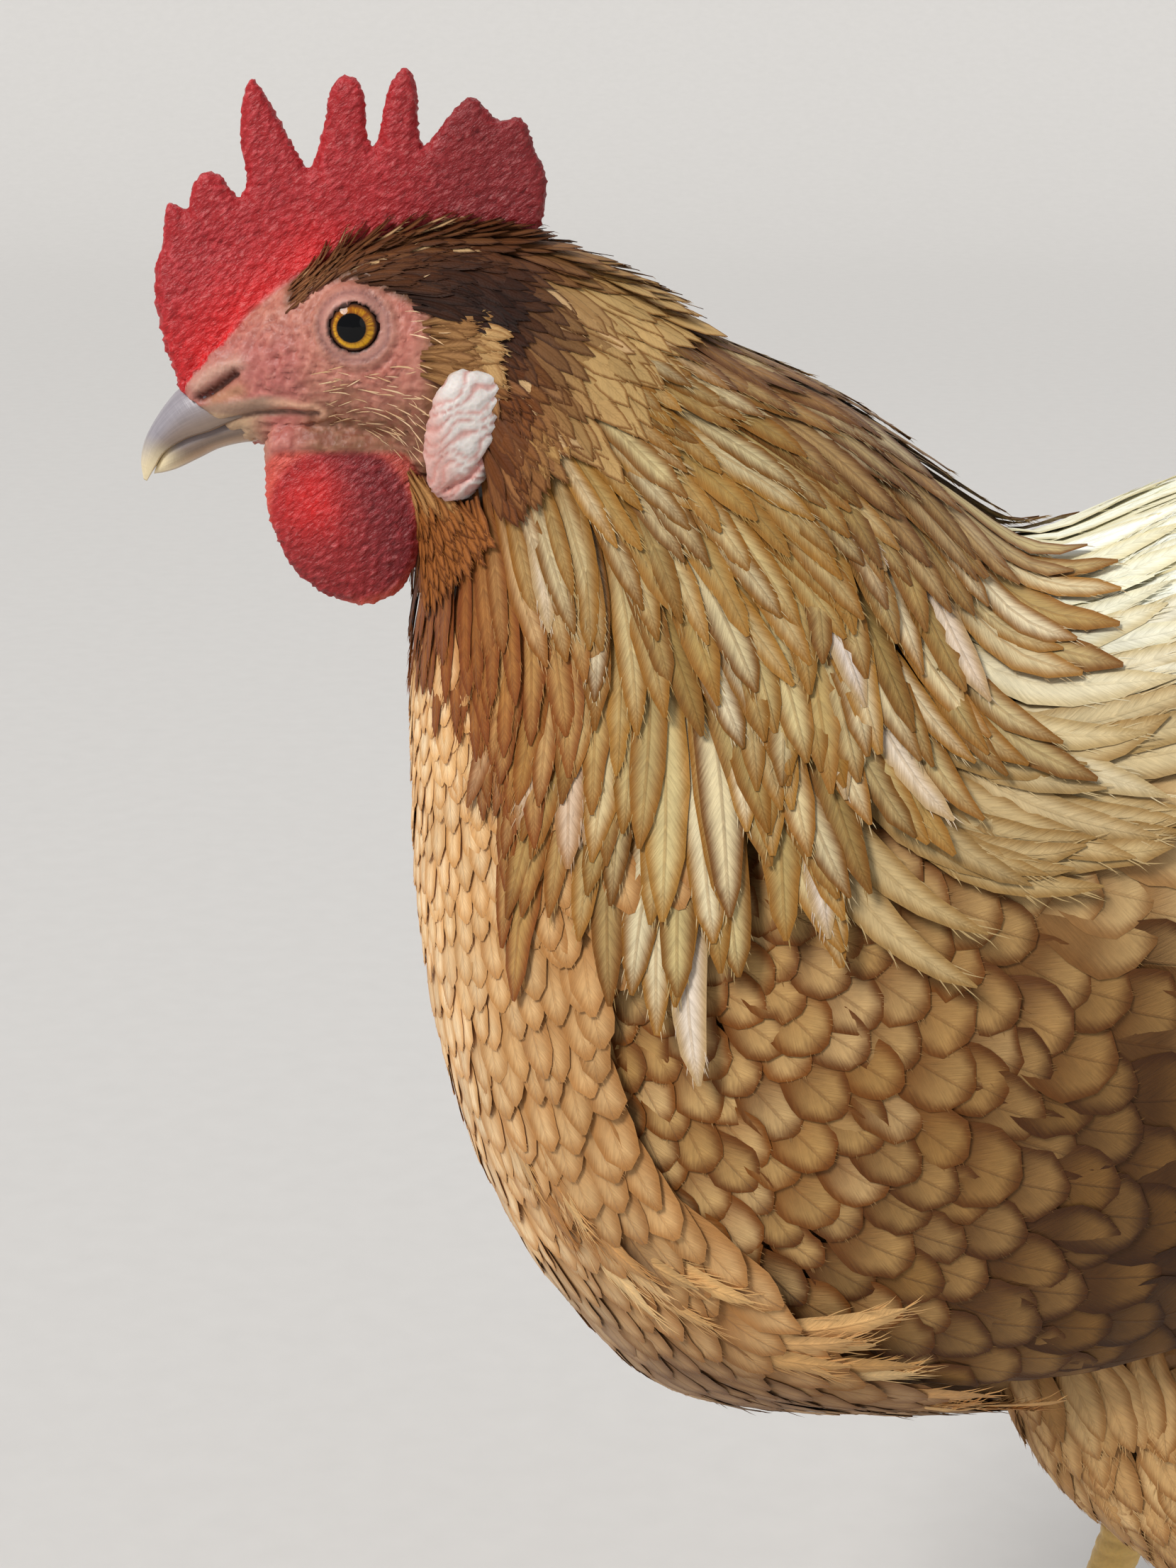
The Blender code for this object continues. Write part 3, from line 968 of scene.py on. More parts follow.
        more = {
            "quads": np.array([[0, 3, 4, 1], [1, 4, 5, 2], [2, 5, 3, 0]]) + base,
            "tris": np.array([[3, 6, 4], [4, 6, 5], [5, 6, 3], [0, 1, 2]]) + base,
            "place": np.stack([*foot, *waist, end], 2),
            "normal": np.repeat(unit(out + 0.2 * beside).reshape(-1, 3), 7, 0),
            "vane": np.tile((2.0, 3.0, 1.6), (total, 1)),
            "bake": np.repeat(corner, each, 0) + along,
            "ground": np.repeat(self.ground * 1.04, each, 0),
            "lace": np.repeat(self.lace, each, 0),
        }
        for key, rows in more.items():
            made[key] = np.concatenate([made[key], rows.reshape(-1, made[key].shape[1])])

    def _patches(self) -> Array:
        """A corner on the bake map for each feather: its root's place on the unrolled loft.

        The map is cut into cells a little wider than a patch, and a taken cell passes the feather
        on to the next one.

        Returns:
            An (n, 2) array.
        """
        cells = int(1 / (PATCH * 1.1))
        i = ((self.t / (2 * math.pi)) % 1.0 * (cells - 1)).astype(int)
        j = (self.s / self.loft.last * (cells - 1)).astype(int).clip(0, cells - 1)
        cell = j * cells + i
        for _ in range(400):
            order = np.argsort(cell, kind="stable")
            same = np.concatenate([[False], np.diff(cell[order]) == 0])
            if not same.any():
                break
            cell[order[same]] = (cell[order[same]] + 1) % cells**2
        return np.stack([cell % cells, cell // cells], -1) * PATCH * 1.1


def join_tracts(name: str, tracts: Sequence[Tract], finish: bpy.types.Material) -> bpy.types.Object:
    """One coat piece from several tracts.

    Args:
        name: the piece's name.
        tracts: its tracts.
        finish: its material.

    Returns:
        The piece, with its attributes, its bake map and soft corner normals, which are mostly the
        loft's where they don't point into a face.
    """
    parts = [tract.build() for tract in tracts]
    firsts = np.cumsum([0] + [len(part["place"]) for part in parts])
    faces = [
        part[key][:, ::-1] + first
        for key in ("quads", "tris", "caps")
        for part, first in zip(parts, firsts)
    ]
    whole = {
        key: np.concatenate([part[key] for part in parts])
        for key in ("place", "normal", "vane", "bake", "ground", "lace")
    }
    piece = make_object(name, (whole["place"], faces), finish)
    for key in ("ground", "lace"):
        write_tint(piece, key, whole[key])
    write_attribute(piece, "vane", whole["vane"])
    corners = np.concatenate([part.ravel() for part in faces])
    put(piece.data.uv_layers.new(name="OFBake").data, "uv", whole["bake"][corners])
    normals = []
    for part in faces:
        points, soft = whole["place"][part], whole["normal"][part]
        flat = unit(np.cross(points, np.roll(points, -1, 1)).sum(1))[:, None, :]
        facing = (soft * flat).sum(-1, keepdims=True) > 0
        normals.append(np.where(facing, soft, flat).reshape(-1, 3))
    piece.data.normals_split_custom_set(np.concatenate(normals).tolist())
    log.info("%s: %d triangles", name, sum(len(f) * (f.shape[1] - 2) for f in faces))
    return piece


@dataclass(frozen=True)
class Plumage:
    """The finish of the feathers: pale ground, dark edge, root and shaft, with barb streaks."""

    name: str
    edge: float  # the width of the dark edge in millimetres
    soft: float
    streaks: float  # how much the barbs change the brightness
    shaft: float  # how far the shaft is darkened
    spangle: float = 0.0  # how dark the feather is towards its root
    sheen: float = 0.05

    def material(self) -> bpy.types.Material:
        """Builds the material from the vane coordinates, which are in millimetres.

        Returns:
            The material.
        """
        made = Finish(self.name, Sheen_Weight=self.sheen, Specular_IOR_Level=0.18, Sheen_Roughness=0.5)
        across, from_tip, from_edge = made.parts(made.attribute("vane", "Vector"))
        ground, lace = made.attribute("ground"), made.attribute("lace")
        run = from_tip + abs(across) * 1.5
        barbs = made.noise(made.vector(across * 0.35, run * 1.5, from_tip * 0.05), 1.0, 3.0, 0.7)
        fine, clumps = (made.noise(made.object_place(), size) for size in (900.0, 210.0))
        edge = from_edge.least(from_tip * 0.8) + (barbs - 0.5) * self.edge * 0.9
        inner = edge.step(self.edge * (1 - self.soft) * 0.7, self.edge * (1 + self.soft) * 1.5)
        shaft = abs(across).step(0.42, 0.12) * from_tip.step(1.0, 4.0) * self.shaft
        root = from_tip.step(2.5, 12.0) * self.spangle
        colour = made.blend(lace, (ground, inner), (lace, root), (lace, shaft))
        light = (barbs - 0.5) * (2.2 * self.streaks) + (fine - 0.5) * 0.14 + (clumps - 0.5) * 0.3
        relief = barbs * 0.8 + fine * 0.2 + abs(across).step(0.4, 0.1) * 0.5
        return made.end(made.brighten(colour, light + 1.0), (barbs - 0.5) * 0.2 + 0.62, relief, 0.00022)


def along(path: Path, at: Array) -> Array:
    """A bent line's second value read at its first."""
    return np.interp(at, *zip(*path))


@dataclass
class Coat:
    """The feathers of one side of the hen, tract by tract."""

    side: int
    first_seed: int = 7
    hackle_border: Path = (
        (48, -25), (59, -32), (68, -42), (76, -46), (89, -58), (110, -54), (122, -60), (149, -51),
        (155, -39), (163, -29), (172, -18), (176, -9), (178, 20),
    )
    wing_front: Path = (
        (-170, 175), (-144, 142), (-123, 110), (-104, 89), (-67, 72), (-44, 62), (-20, 60),
    )
    brow_line: Path = (
        (27, 41.5), (30, 44), (34, 47.4), (40, 48.4), (45, 47.2), (51, 44.5), (56, 43), (60, 41.5),
    )

    def __post_init__(self) -> None:
        """Makes the lofts that the tracts share."""
        self.seed = self.first_seed + self.side
        self.body, self.wing = Loft.body(), Loft.sections(WING, self.side)
        self.wall = Wall(self.wing, self.body, self.side)

    def _tract(self, number: int, cut: Cut, draped: bool = False) -> Tract:
        """A tract on this side of the body, which may be draped over the wing."""
        return Tract(self.body, cut, self.seed + number, self.wall if draped else None, self.side)

    def hackle(self) -> Tract:
        """The cape: narrow pointed feathers that spread from the head over the shoulders.

        Returns:
            The tract.
        """
        tract = self._tract(11, Cut(Vane.HACKLE, 54, 6.8, 4.6, rows=11, arch=0.025, stray=2.6, bend=3,
            vary=0.16, barbs=16, barb_length=3.4, barb_start=0.66, barb_spread=11), True)
        tract.sow((3.5, 10.6), (-0.02, 1.02), (4.6, 0.075, 90), (1.7, 0.021, 100), 0.28)
        s, low, rng = tract.s, np.abs(np.sin(tract.t / 2)), tract.rng
        size = (0.2 + 0.8 * ease(3.2, 7.6, s)) * (1 - 0.35 * ease(0.75, 1.0, low))
        root, tip = tract.ends(tract.cut.length * size)
        border = along(self.hackle_border, tip[:, 0] + rng.normal(0, 2.0, len(s)))
        border = border + rng.normal(0, 3.0, len(s))
        face = (root[:, 0] < 71) & (root[:, 2] > 9) & (s < 5.4)
        keep = (tip[:, 2] > border) & ~face & (tip[:, 0] < 180) & (root[:, 0] < 139)
        s, low, tract.size, root, tip = tract.keep(keep, s, low, size, root, tip)
        x, _, z = tip.T
        tract.dye([(212, 196, 144), (150, 122, 66), (246, 236, 204), (182, 154, 94)],
                  [(138, 90, 28), (106, 66, 18), (160, 112, 44)])
        pale = rng.uniform(size=len(s)) < 0.10 * ease(20, -20, z)
        tract.ground[pale] = mix((232, 216, 192), (222, 212, 206), rng.uniform(size=pale.sum()))
        tract.lace[pale] = (176, 146, 104)
        tract.tone((176, 106, 48), ease(0.70, 0.90, low) * ease(-44, -24, z) * 0.9, (112, 54, 20))
        rust = ease(112, 84, x) * ease(-6, -16, z) * ease(4.4, 6, s)
        tract.tone((186, 126, 58), rust * 0.55, (122, 60, 16), rust * 0.8)
        nape = ease(0.34, 0.12, low) * ease(185, 130, x)
        streaky = np.where(rng.uniform(size=len(s)) < 0.5, 0.2, 1.0)
        tract.tone((150, 104, 58), nape * 0.75 * streaky, (92, 54, 26), nape * 0.9)
        high = ease(5.4, 3.6, s)
        tract.tone((132, 88, 46), high * 0.8, (72, 42, 20), high * 0.85)
        lean = 3 + 17 * ease(4.6, 8.0, s) * np.sin(np.minimum(low * 2, 1.2)) ** 2
        lean = lean + 16 * ease(120, 172, x) * ease(20, 0, z)
        waves = 6 * wave_noise(root, 34, 61) + 3 * wave_noise(root, 11, 62)
        tract.turn = -self.side * lean * ease(0.99, 0.8, low) + waves
        tract.raise_tip, tract.deep = 1.3 * ease(5.0, 8.0, s), 0.18 + 0.82 * ease(3.2, 8.0, s)
        return tract

    def breast(self) -> Tract:
        """Small rounded feathers over the breast, lying over the front of the wing.

        Returns:
            The tract.
        """
        tract = self._tract(21, Cut(Vane.ROUND, 23, 10, 1.5, arch=0, stray=4, vary=0.1,
            barbs=8, barb_length=1.3, barb_start=0.8, barb_width=0.12), True)
        tract.sow((6.6, 13.6), (0.3, 1.03), (4.4, 0.022, 120), (3.8, 0.026, 120), 0.1)
        walked = self.body.at(tract.s, tract.t, self.body.lengths())[0][:, 0]
        size = 0.62 + 0.38 * ease(40, 160, walked - 40)
        root, tip = tract.ends(22 * size)
        front = along(self.wing_front, tip[:, 2]) + tract.rng.normal(0, 2.5, len(size))
        bare = ~(self.wall.covers(root, 2) | self.wall.covers(tip, 2))
        under = (tip[:, 2] > along(self.hackle_border, tip[:, 0]) + 9) & (tip[:, 0] > 62)
        keep = ((tip[:, 0] < front + 7) | bare) & (root[:, 2] < -8) & ~under
        tract.size, tip = tract.keep(keep, size, tip)
        beside, z = np.abs(tip[:, 1]), tip[:, 2]
        tract.dye([(252, 220, 174), (255, 234, 196), (244, 206, 154)],
                  [(226, 176, 116), (214, 158, 96)], (4, 5))
        # The breast darkens towards its side, partly its own colour and partly painted shade; the lower
        # breast, most at its side, gets painted shade.
        aside, shade = ease(20, 60, beside), ease(-125, -158, z) * (0.4 + 0.6 * ease(20, 50, beside))
        tract.tone((196, 152, 98), aside * 0.85, (150, 100, 50), aside * 0.75)
        tract.tone((186, 120, 64), ease(-30, -12, z) * 0.8, (128, 70, 34))
        tract.tone((128, 92, 58), shade * 0.8, (84, 54, 30))
        return tract

    def wisps(self) -> Tract:
        """Frayed feathers with long loose barbs where the lower breast lies on the wing.

        Returns:
            The tract.
        """
        tract = self._tract(121, Cut(Vane.LOOSE, 25, 5, 1.2, 0.3, stray=7, bend=14, vary=0.3,
            barbs=26, barb_length=7.5, barb_spread=15, barb_start=0.35, barb_width=0.24), True)
        tract.sow((9.0, 14.6), (0.3, 0.92), (6.5, 0, 0), (4.2, 0, 0), 0.35)
        x, _, z = tract.ends()[0].T
        seam = bell(x - along(self.wing_front, z) + 16, 5) * ease(-78, -104, z) * ease(-172, -160, z)
        tract.keep(tract.rng.uniform(size=len(x)) < seam * 0.9)
        tract.dye([(226, 176, 112), (240, 200, 140), (190, 132, 72)], 0.86)
        tract.turn, tract.raise_tip = self.side * 24.0, 0.7
        return tract

    def belly(self) -> Tract:
        """Longer loose feathers under the body and round the vent.

        Returns:
            The tract.
        """
        tract = self._tract(31, Cut(Vane.LOOSE, 33, 12.5, 4, stray=9, bend=9,
            barbs=14, barb_length=6, barb_spread=20, barb_width=0.2))
        tract.sow((12.4, 19.6), (0.42, 1.02), (10.5, 0, 0), (9.4, 0, 0), 0.22)
        root, tip = tract.ends(30.0)
        (tip,) = tract.keep(~(self.wall.covers(root, 4) & (root[:, 0] < 222)), tip)
        tract.dye([(160, 122, 78), (184, 150, 104), (130, 94, 54)], [(112, 78, 42), (138, 102, 60)])
        # Painted shade: the belly is darker at the front, under the breast.
        tract.tone((112, 82, 52), ease(175, 130, tip[:, 0]) * 0.7, (74, 50, 28))
        tract.tone((236, 216, 178), ease(190, 270, tip[:, 0]) * 0.8)
        return tract

    def saddle(self) -> Tract:
        """Long cream feathers over the back, flowing to the tail.

        Returns:
            The tract.
        """
        tract = self._tract(41, Cut(Vane.LOOSE, 42, 7, 2.6, stray=7, bend=8,
            barbs=13, barb_length=6, barb_spread=14, barb_width=0.22), True)
        tract.sow((9.6, 19.4), (-0.01, 0.56), (7, 0, 0), (4.8, 0, 0), 0.25)
        root = tract.ends()[0]
        tract.keep(~(self.wall.covers(root, 5) & (root[:, 0] < 222) | (root[:, 2] < -32)))
        tract.dye([(240, 242, 222), (234, 228, 196), (248, 250, 240)],
                  [(230, 226, 196), (216, 204, 160)], (4, 5))
        tract.tone((180, 150, 98), ease(0.24, 0.5, np.abs(np.sin(tract.t / 2))) * 0.85, (134, 96, 44))
        return tract

    def coverts(self) -> Tract:
        """Rounded wing coverts with soft dark edges, small in front and larger behind.

        Returns:
            The tract.
        """
        cut = Cut(Vane.ROUND, 30, 20, 0.9, rows=9, arch=0, stray=4.5,
                  barbs=8, barb_length=1.5, barb_start=0.8, barb_width=0.12)
        tract = Tract(self.wing, cut, self.seed + 51)
        tract.sow((0.1, 5.6), (0.05, 0.96), (4.6, 0.036, 150), (5.0, 0.05, 150), 0.09)
        x, _, z = tract.ends()[0].T
        tract.size = 0.48 + 0.52 * ease(85, 215, x)
        tract.turn = np.interp(tract.s, [0, 1.5, 3, 5], [24, 26, 16, 6]) + 4 * np.sin(z / 14)
        tract.dye([(198, 160, 102), (178, 138, 80), (214, 180, 128)],
                  [(130, 74, 18), (108, 60, 14)], (4, 4))
        # Partly the coverts' own colour and partly painted shade: they darken towards the rear, more so
        # low on the wing.
        dark = np.clip(0.12 + ease(90, 190, x) * (0.5 + 0.5 * ease(-50, -100, z)), 0, 1)
        tract.tone((98, 64, 25), dark * 0.95, (50, 27, 8))
        tract.tone((226, 198, 148), ease(-58, -34, z) * ease(110, 160, x) * 0.7, (190, 148, 96))
        return tract

    def underwing(self) -> Tract:
        """Soft feathers on the inner face of the wing's rear half and round its end.

        Returns:
            The tract.
        """
        cut = Cut(Vane.LOOSE, 26, 12, 1.2, arch=0.02, vary=0.1, barbs=8, barb_length=3, barb_start=0.6)
        tract = Tract(self.wing, cut, self.seed + 131)
        tract.sow((3.6, 7.8), (0.3, 2), (9, 0, 0), (8, 0, 0), 0.2)
        tract.keep((tract.t > math.pi) | (tract.s > 6.0))
        tract.dye([(206, 176, 130), (190, 156, 110)], 0.8)
        return tract

    def flights(self) -> Tract:
        """The folded secondaries, each lying over the one below.

        Returns:
            The tract.
        """
        cut = Cut(Vane.FLIGHT, 112, 19, 4.5, -0.2, rows=16, arch=0.05, stray=1.2, bend=1.5, vary=0.02)
        order = np.linspace(0, 1, 13)
        tract = Tract(self.wing, cut, self.seed + 61, turn=2.0,
                      size=1.0 - 0.12 * (1 - order), raise_tip=1.2 * order)
        tract.s, tract.t = 4.5 - 0.5 * order + 0.35 * (1 - order), (0.9 - 0.78 * order) * math.pi
        tract.dye([(112, 78, 44), (94, 62, 32), (132, 94, 56)], [(174, 134, 88), (146, 108, 66)], (3, 3))
        return tract

    def thigh(self) -> Tract:
        """Soft feathers down the leg to the hock.

        Returns:
            The tract.
        """
        cut = Cut(Vane.LOOSE, 19, 7.6, 2.6, stray=8, bend=8, barbs=12, barb_length=3.6, barb_spread=22)
        tract = Tract(Loft.sections(THIGH, self.side, leg=True), cut, self.seed + 71)
        tract.sow((0.0, 3.7), (0, 2), (5.5, 0, 0), (5.6, 0, 0), 0.2)
        tract.dye([(196, 154, 100), (208, 172, 120), (172, 128, 76)], [(150, 104, 56), (164, 120, 70)])
        tract.size = 1 - 0.5 * ease(2.2, 3.6, tract.s)
        return tract

    def cap(self) -> Tract:
        """Short dark feathers over the crown, from above the eye to the back of the head.

        Returns:
            The tract.
        """
        tract = self._tract(91, Cut(Vane.LANCE, 13, 2.5, 0.9, 0.15, rows=7, arch=0.01, stray=3,
            barbs=6, barb_length=1.6, barb_spread=14, barb_start=0.5, barb_width=0.1))
        tract.sow((1.5, 5.6), (0.02, 0.62), (1.7, 0.02, 60), (1.15, 0.012, 60), 0.25)
        root = tract.ends()[0]
        line = along(self.brow_line, root[:, 0]) + tract.rng.normal(0, 0.3, len(root))
        line = np.where(root[:, 0] > 60, 30 - (root[:, 0] - 60) * 3, line)
        (root,) = tract.keep((root[:, 2] > line) & (root[:, 0] > 27.5), root)
        x, y, z = root.T
        tract.dye([(118, 68, 32), (96, 52, 22), (142, 92, 50)], [(84, 46, 20), (96, 54, 26)])
        tract.tone((150, 104, 66), ease(40, 30, x) * 0.8)
        dark, rear = bell(np.hypot((x - 56) / 1.7, z - 47), 8), ease(62, 76, x)
        tract.tone((36, 15, 6), dark * 0.97, (26, 11, 5))
        tract.tone((206, 174, 114), rear * 0.8, (142, 100, 50), rear * 0.9)
        tract.ground[tract.rng.uniform(size=len(x)) < 0.08 * (1 - dark)] = (196, 160, 114)
        tract.size = 0.42 + 0.58 * ease(28, 62, x) + 0.7 * rear
        tract.raise_tip = ease(8.5, 3.5, np.abs(y)) * 3.0 * ease(27, 34, x)
        tract.turn = -12 * ease(46, 34, x) + 5 * wave_noise(root, 9, 63)
        tract.deep = 0.3 + 0.7 * ease(2.5, 5, tract.s)
        return tract

    def ear(self) -> Tract:
        """The tuft over the ear, swept back, and the short feathers behind the lobe.

        Returns:
            The tract.
        """
        tract = self._tract(101, Cut(Vane.LANCE, 10, 2.2, 0.9, 0.15, rows=7, arch=0.01, stray=5, bend=6,
            barbs=8, barb_length=1.6, barb_spread=14, barb_width=0.1))
        tract.sow((3.2, 5.8), (0.24, 0.86), (1.7, 0, 0), (1.25, 0, 0), 0.25)
        x, _, z = tract.ends()[0].T
        tuft = (x > 52.5) & (x < 61) & (z > 32) & (z < 42.5)
        behind = ((x > 59) & (z < 37 - (x - 59) * 0.6)) | ((z < 15) & (x > 47))
        x, z = tract.keep((tuft | behind) & (LOBE.share(x, z, -1.0) > 1.0), x, z)
        tract.dye([(196, 158, 104), (212, 176, 122), (174, 132, 82)], [(150, 108, 62), (164, 122, 74)])
        rear, chin = ease(58, 63, x) * ease(38, 33, z), ease(17, 12, z)
        gold = ease(66, 72, x) * (1 - chin)
        tract.tone((142, 98, 56), ease(59, 54, x) * ease(30, 34, z) * 0.8, (104, 66, 32))
        tract.tone((112, 62, 26), rear, (78, 40, 15))
        tract.tone((154, 92, 40), chin, (102, 54, 18))
        tract.tone((196, 158, 98), gold * 0.8, (150, 108, 58), gold * 0.9)
        tract.turn, tract.deep = np.where(x < 60, -18.0, 4.0), 0.6
        tract.raise_tip = 0.8 * ease(56, 62, x) * ease(30, 36, z)
        return tract

    def bristles(self) -> Tract:
        """Fine pale hair-like feathers on the cheek and before the eye.

        Returns:
            The tract.
        """
        tract = self._tract(111, Cut(Vane.LANCE, 3.6, 0.24, 0.25, 0.22, rows=4, arch=0.1, stray=14,
            bend=10))
        tract.sow((1.6, 4.2), (0.15, 0.96), (2, 0, 0), (1.8, 0, 0), 0.35)
        x, _, z = tract.ends()[0].T
        keep = (np.hypot(x - EYE_PLACE[0], z - EYE_PLACE[1]) > 8.5) & (x > 33) & (x < 56) & (z > 18.5)
        keep &= tract.rng.uniform(size=len(x)) < 0.8 * ease(48, 22, z) + 0.05
        tract.keep(keep & (LOBE.share(x, z, 1.5) > 1.0))
        tract.dye([(232, 200, 160), (214, 174, 130)], 1.0)
        tract.turn, tract.size = -8.0, tract.rng.uniform(0.6, 1.3, len(tract.s))
        return tract


@dataclass
class Tail:
    """The tail: main feathers in two folded fans, with coverts over their roots."""

    seed: int = 88

    def tracts(self) -> list[Tract]:
        """Both layers, which share their random numbers.

        Returns:
            The main feathers and the coverts.
        """
        loft = Loft.sections(TAIL + ((397, 87, 0, 5, 2, 122),))
        order = np.linspace(0, 1, 7)
        cut = Cut(Vane.FLIGHT, 112, 25, 4, -0.3, rows=16, arch=0.05, stray=1.5, bend=1.5, vary=0.02)
        main = Tract(loft, cut, self.seed, raise_tip=np.tile(order, 2) * 1.5)
        main.t = np.concatenate([(0.88 - 0.80 * order), -(0.86 - 0.80 * order)]) * math.pi
        main.s = np.full(len(main.t), 0.1)
        main.dye([(236, 214, 172), (226, 200, 154)], [(206, 166, 112), (216, 182, 130)], (3, 3))
        cut = Cut(Vane.LOOSE, 36, 11, 5, 1.6, rows=9, arch=0.08, stray=7, bend=6,
                  barbs=12, barb_length=5, barb_spread=20)
        cover = Tract(loft, cut, self.seed + 1)
        cover.rng = main.rng
        cover.sow((0.0, 5.2), (0, 2), (9, 0, 0), (8, 0, 0), 0.2)
        cover.dye([(240, 222, 184), (232, 208, 164)], [(212, 176, 124), (222, 192, 144)], (4, 4))
        return [main, cover]


@dataclass(frozen=True)
class Flap:
    """A thin hanging piece of red or white skin with an oval outline."""

    centre: tuple[float, float]
    y: float
    half_length: float
    half_height: float
    half_thickness: float
    tilt: float  # degrees
    square: float  # 2 is an ellipse, more is squarer
    cup: float  # how far the middle bulges out
    corners: Path  # of its outline, before they are cut off

    def share(self, x: Array, z: Array, grow: float = 1.0) -> Array:
        """The share of the way from the flap's middle to its outline, grown by some millimetres.

        Args:
            x: the places' x.
            z: their z.
            grow: how far the outline is grown.

        Returns:
            1 on the outline, less inside it.
        """
        lean = math.radians(self.tilt)
        dx, dz = x - self.centre[0], z - self.centre[1]
        flat = np.abs(dx * math.cos(lean) + dz * math.sin(lean)) / (self.half_length + grow)
        up = np.abs(dz * math.cos(lean) - dx * math.sin(lean)) / (self.half_height + grow)
        return (flat**self.square + up**self.square) ** (1 / self.square)


WATTLE = Flap(
    (38.2, 4.6), 10.0, 14.2, 15.4, 1.7, 14, 2.35, 1.6,
    ((25, 23), (23.6, 12), (24.6, 4.6), (28.3, -3.9), (34.5, -9), (42.3, -11.2), (48.8, -8),
     (52.2, -0.5), (53, 9), (50.5, 17.5), (45, 22)),
)
LOBE = Flap(
    (60.9, 22.0), 20.4, 6.9, 11.9, 2.4, -17, 2.2, 1.6,
    ((58.2, 33.8), (63, 34.2), (68.8, 33), (69.4, 29), (66.9, 21.5), (63.6, 12.6), (58.5, 10),
     (54.2, 12), (53, 20), (55, 28.5)),
)
EYE_PLACE, EYE_Y, EYE_RADIUS = (41.0, 40.8), 8.6, 7.4
COMB_HEART = (47.6, 22.2)
COMB = (
    (16, 26), (8, 28.5), (5.2, 36), (3.9, 44), (4.0, 50), (5.6, 53.2), (6.0, 58), (6.4, 61.4),
    (8.8, 61), (10.3, 58.4), (11.0, 64), (13, 67), (16.0, 66.8), (18.5, 63.2), (20.3, 61.6),
    (21.2, 66), (20.1, 72), (20.6, 79), (22.4, 84.2), (26.2, 78), (29, 72.6), (32.6, 66),
    (35.4, 75), (36.2, 80.6), (38.4, 84), (41.8, 83.2), (43, 79), (42.8, 73.6), (43.4, 69.2),
    (45, 72.6), (47, 82), (49.8, 85.8), (51.9, 83.4), (52.3, 73.6), (53, 70.4), (56.8, 75.8),
    (61.8, 80.8), (66.7, 75.4), (70.4, 77), (72, 74.6), (73, 70.6), (75.4, 66.4), (74.4, 57), (68, 50),
)
# Each toe's angle from the front in degrees, and its length.
TOES = {"middle": (4, 52), "inner": (38, 40), "outer": (-30, 43), "hind": (168, 24)}
SCUTE = 3.4  # the height of a scale of the shank


def rounded(corners: Path, share: float) -> Array:
    """An outline with every corner cut off three times, at a share of its sides.

    Args:
        corners: the outline's corners.
        share: how far from a corner the cut is.

    Returns:
        An (n, 2) array.
    """
    path = np.array(corners, float)
    for _ in range(3):
        following = np.roll(path, -1, 0)
        cuts = [path * (1 - share) + following * share, path * share + following * (1 - share)]
        path = np.stack(cuts, 1).reshape(-1, 2)
    return path


def leaf(
    outline: Array, heart: tuple[float, float], edge: float, thickness: Callable[[Array], Array]
) -> Shell:
    """A closed leaf: an outline filled from its heart and rounded off at its rim.

    Args:
        outline: (n, 2) places (x, z).
        heart: the place that the rings shrink to.
        edge: the width of the round rim.
        thickness: the half thickness from z.

    Returns:
        Points (x, y, z) about the plane y = 0, and faces.
    """
    share = 1 - np.linspace(0, 1, 26)[:, None, None] ** 1.8
    flat = (np.array(heart) + (outline - heart) * share).reshape(-1, 2)
    rim = [np.hypot(*(part[:, None] - outline).T).min(0) for part in np.array_split(flat, 24)]
    half = thickness(flat[:, 1]) * np.sqrt(1 - (1 - np.clip(np.concatenate(rim) / edge, 0, 1)) ** 2)
    front, back = (np.stack([flat[:, 0], y, flat[:, 1]], 1) for y in (-half, half))
    quads = grid_faces(len(share), len(outline))
    return np.concatenate([front, back]), [quads, quads[:, ::-1] + len(flat)]


def foot_places(side: int, angle: float, reach: Array, across: Array, up: Array) -> Array:
    """Places on a foot, from the way along a toe, the way across it and the height over the floor.

    Args:
        side: the sign of y.
        angle: the toe's angle from the front in degrees.
        reach: the distance from the foot's middle.
        across: the distance from the toe's own line.
        up: the height.

    Returns:
        Rings of places in hen millimetres.
    """
    way = math.radians(180 + angle * side)
    x = HALF_LENGTH - ahead(side) + np.cos(way) * reach - np.sin(way) * across
    y = FOOT_APART * side + np.sin(way) * reach + np.cos(way) * across
    return np.stack(np.broadcast_arrays(x, y, up - BACK_HEIGHT), -1)


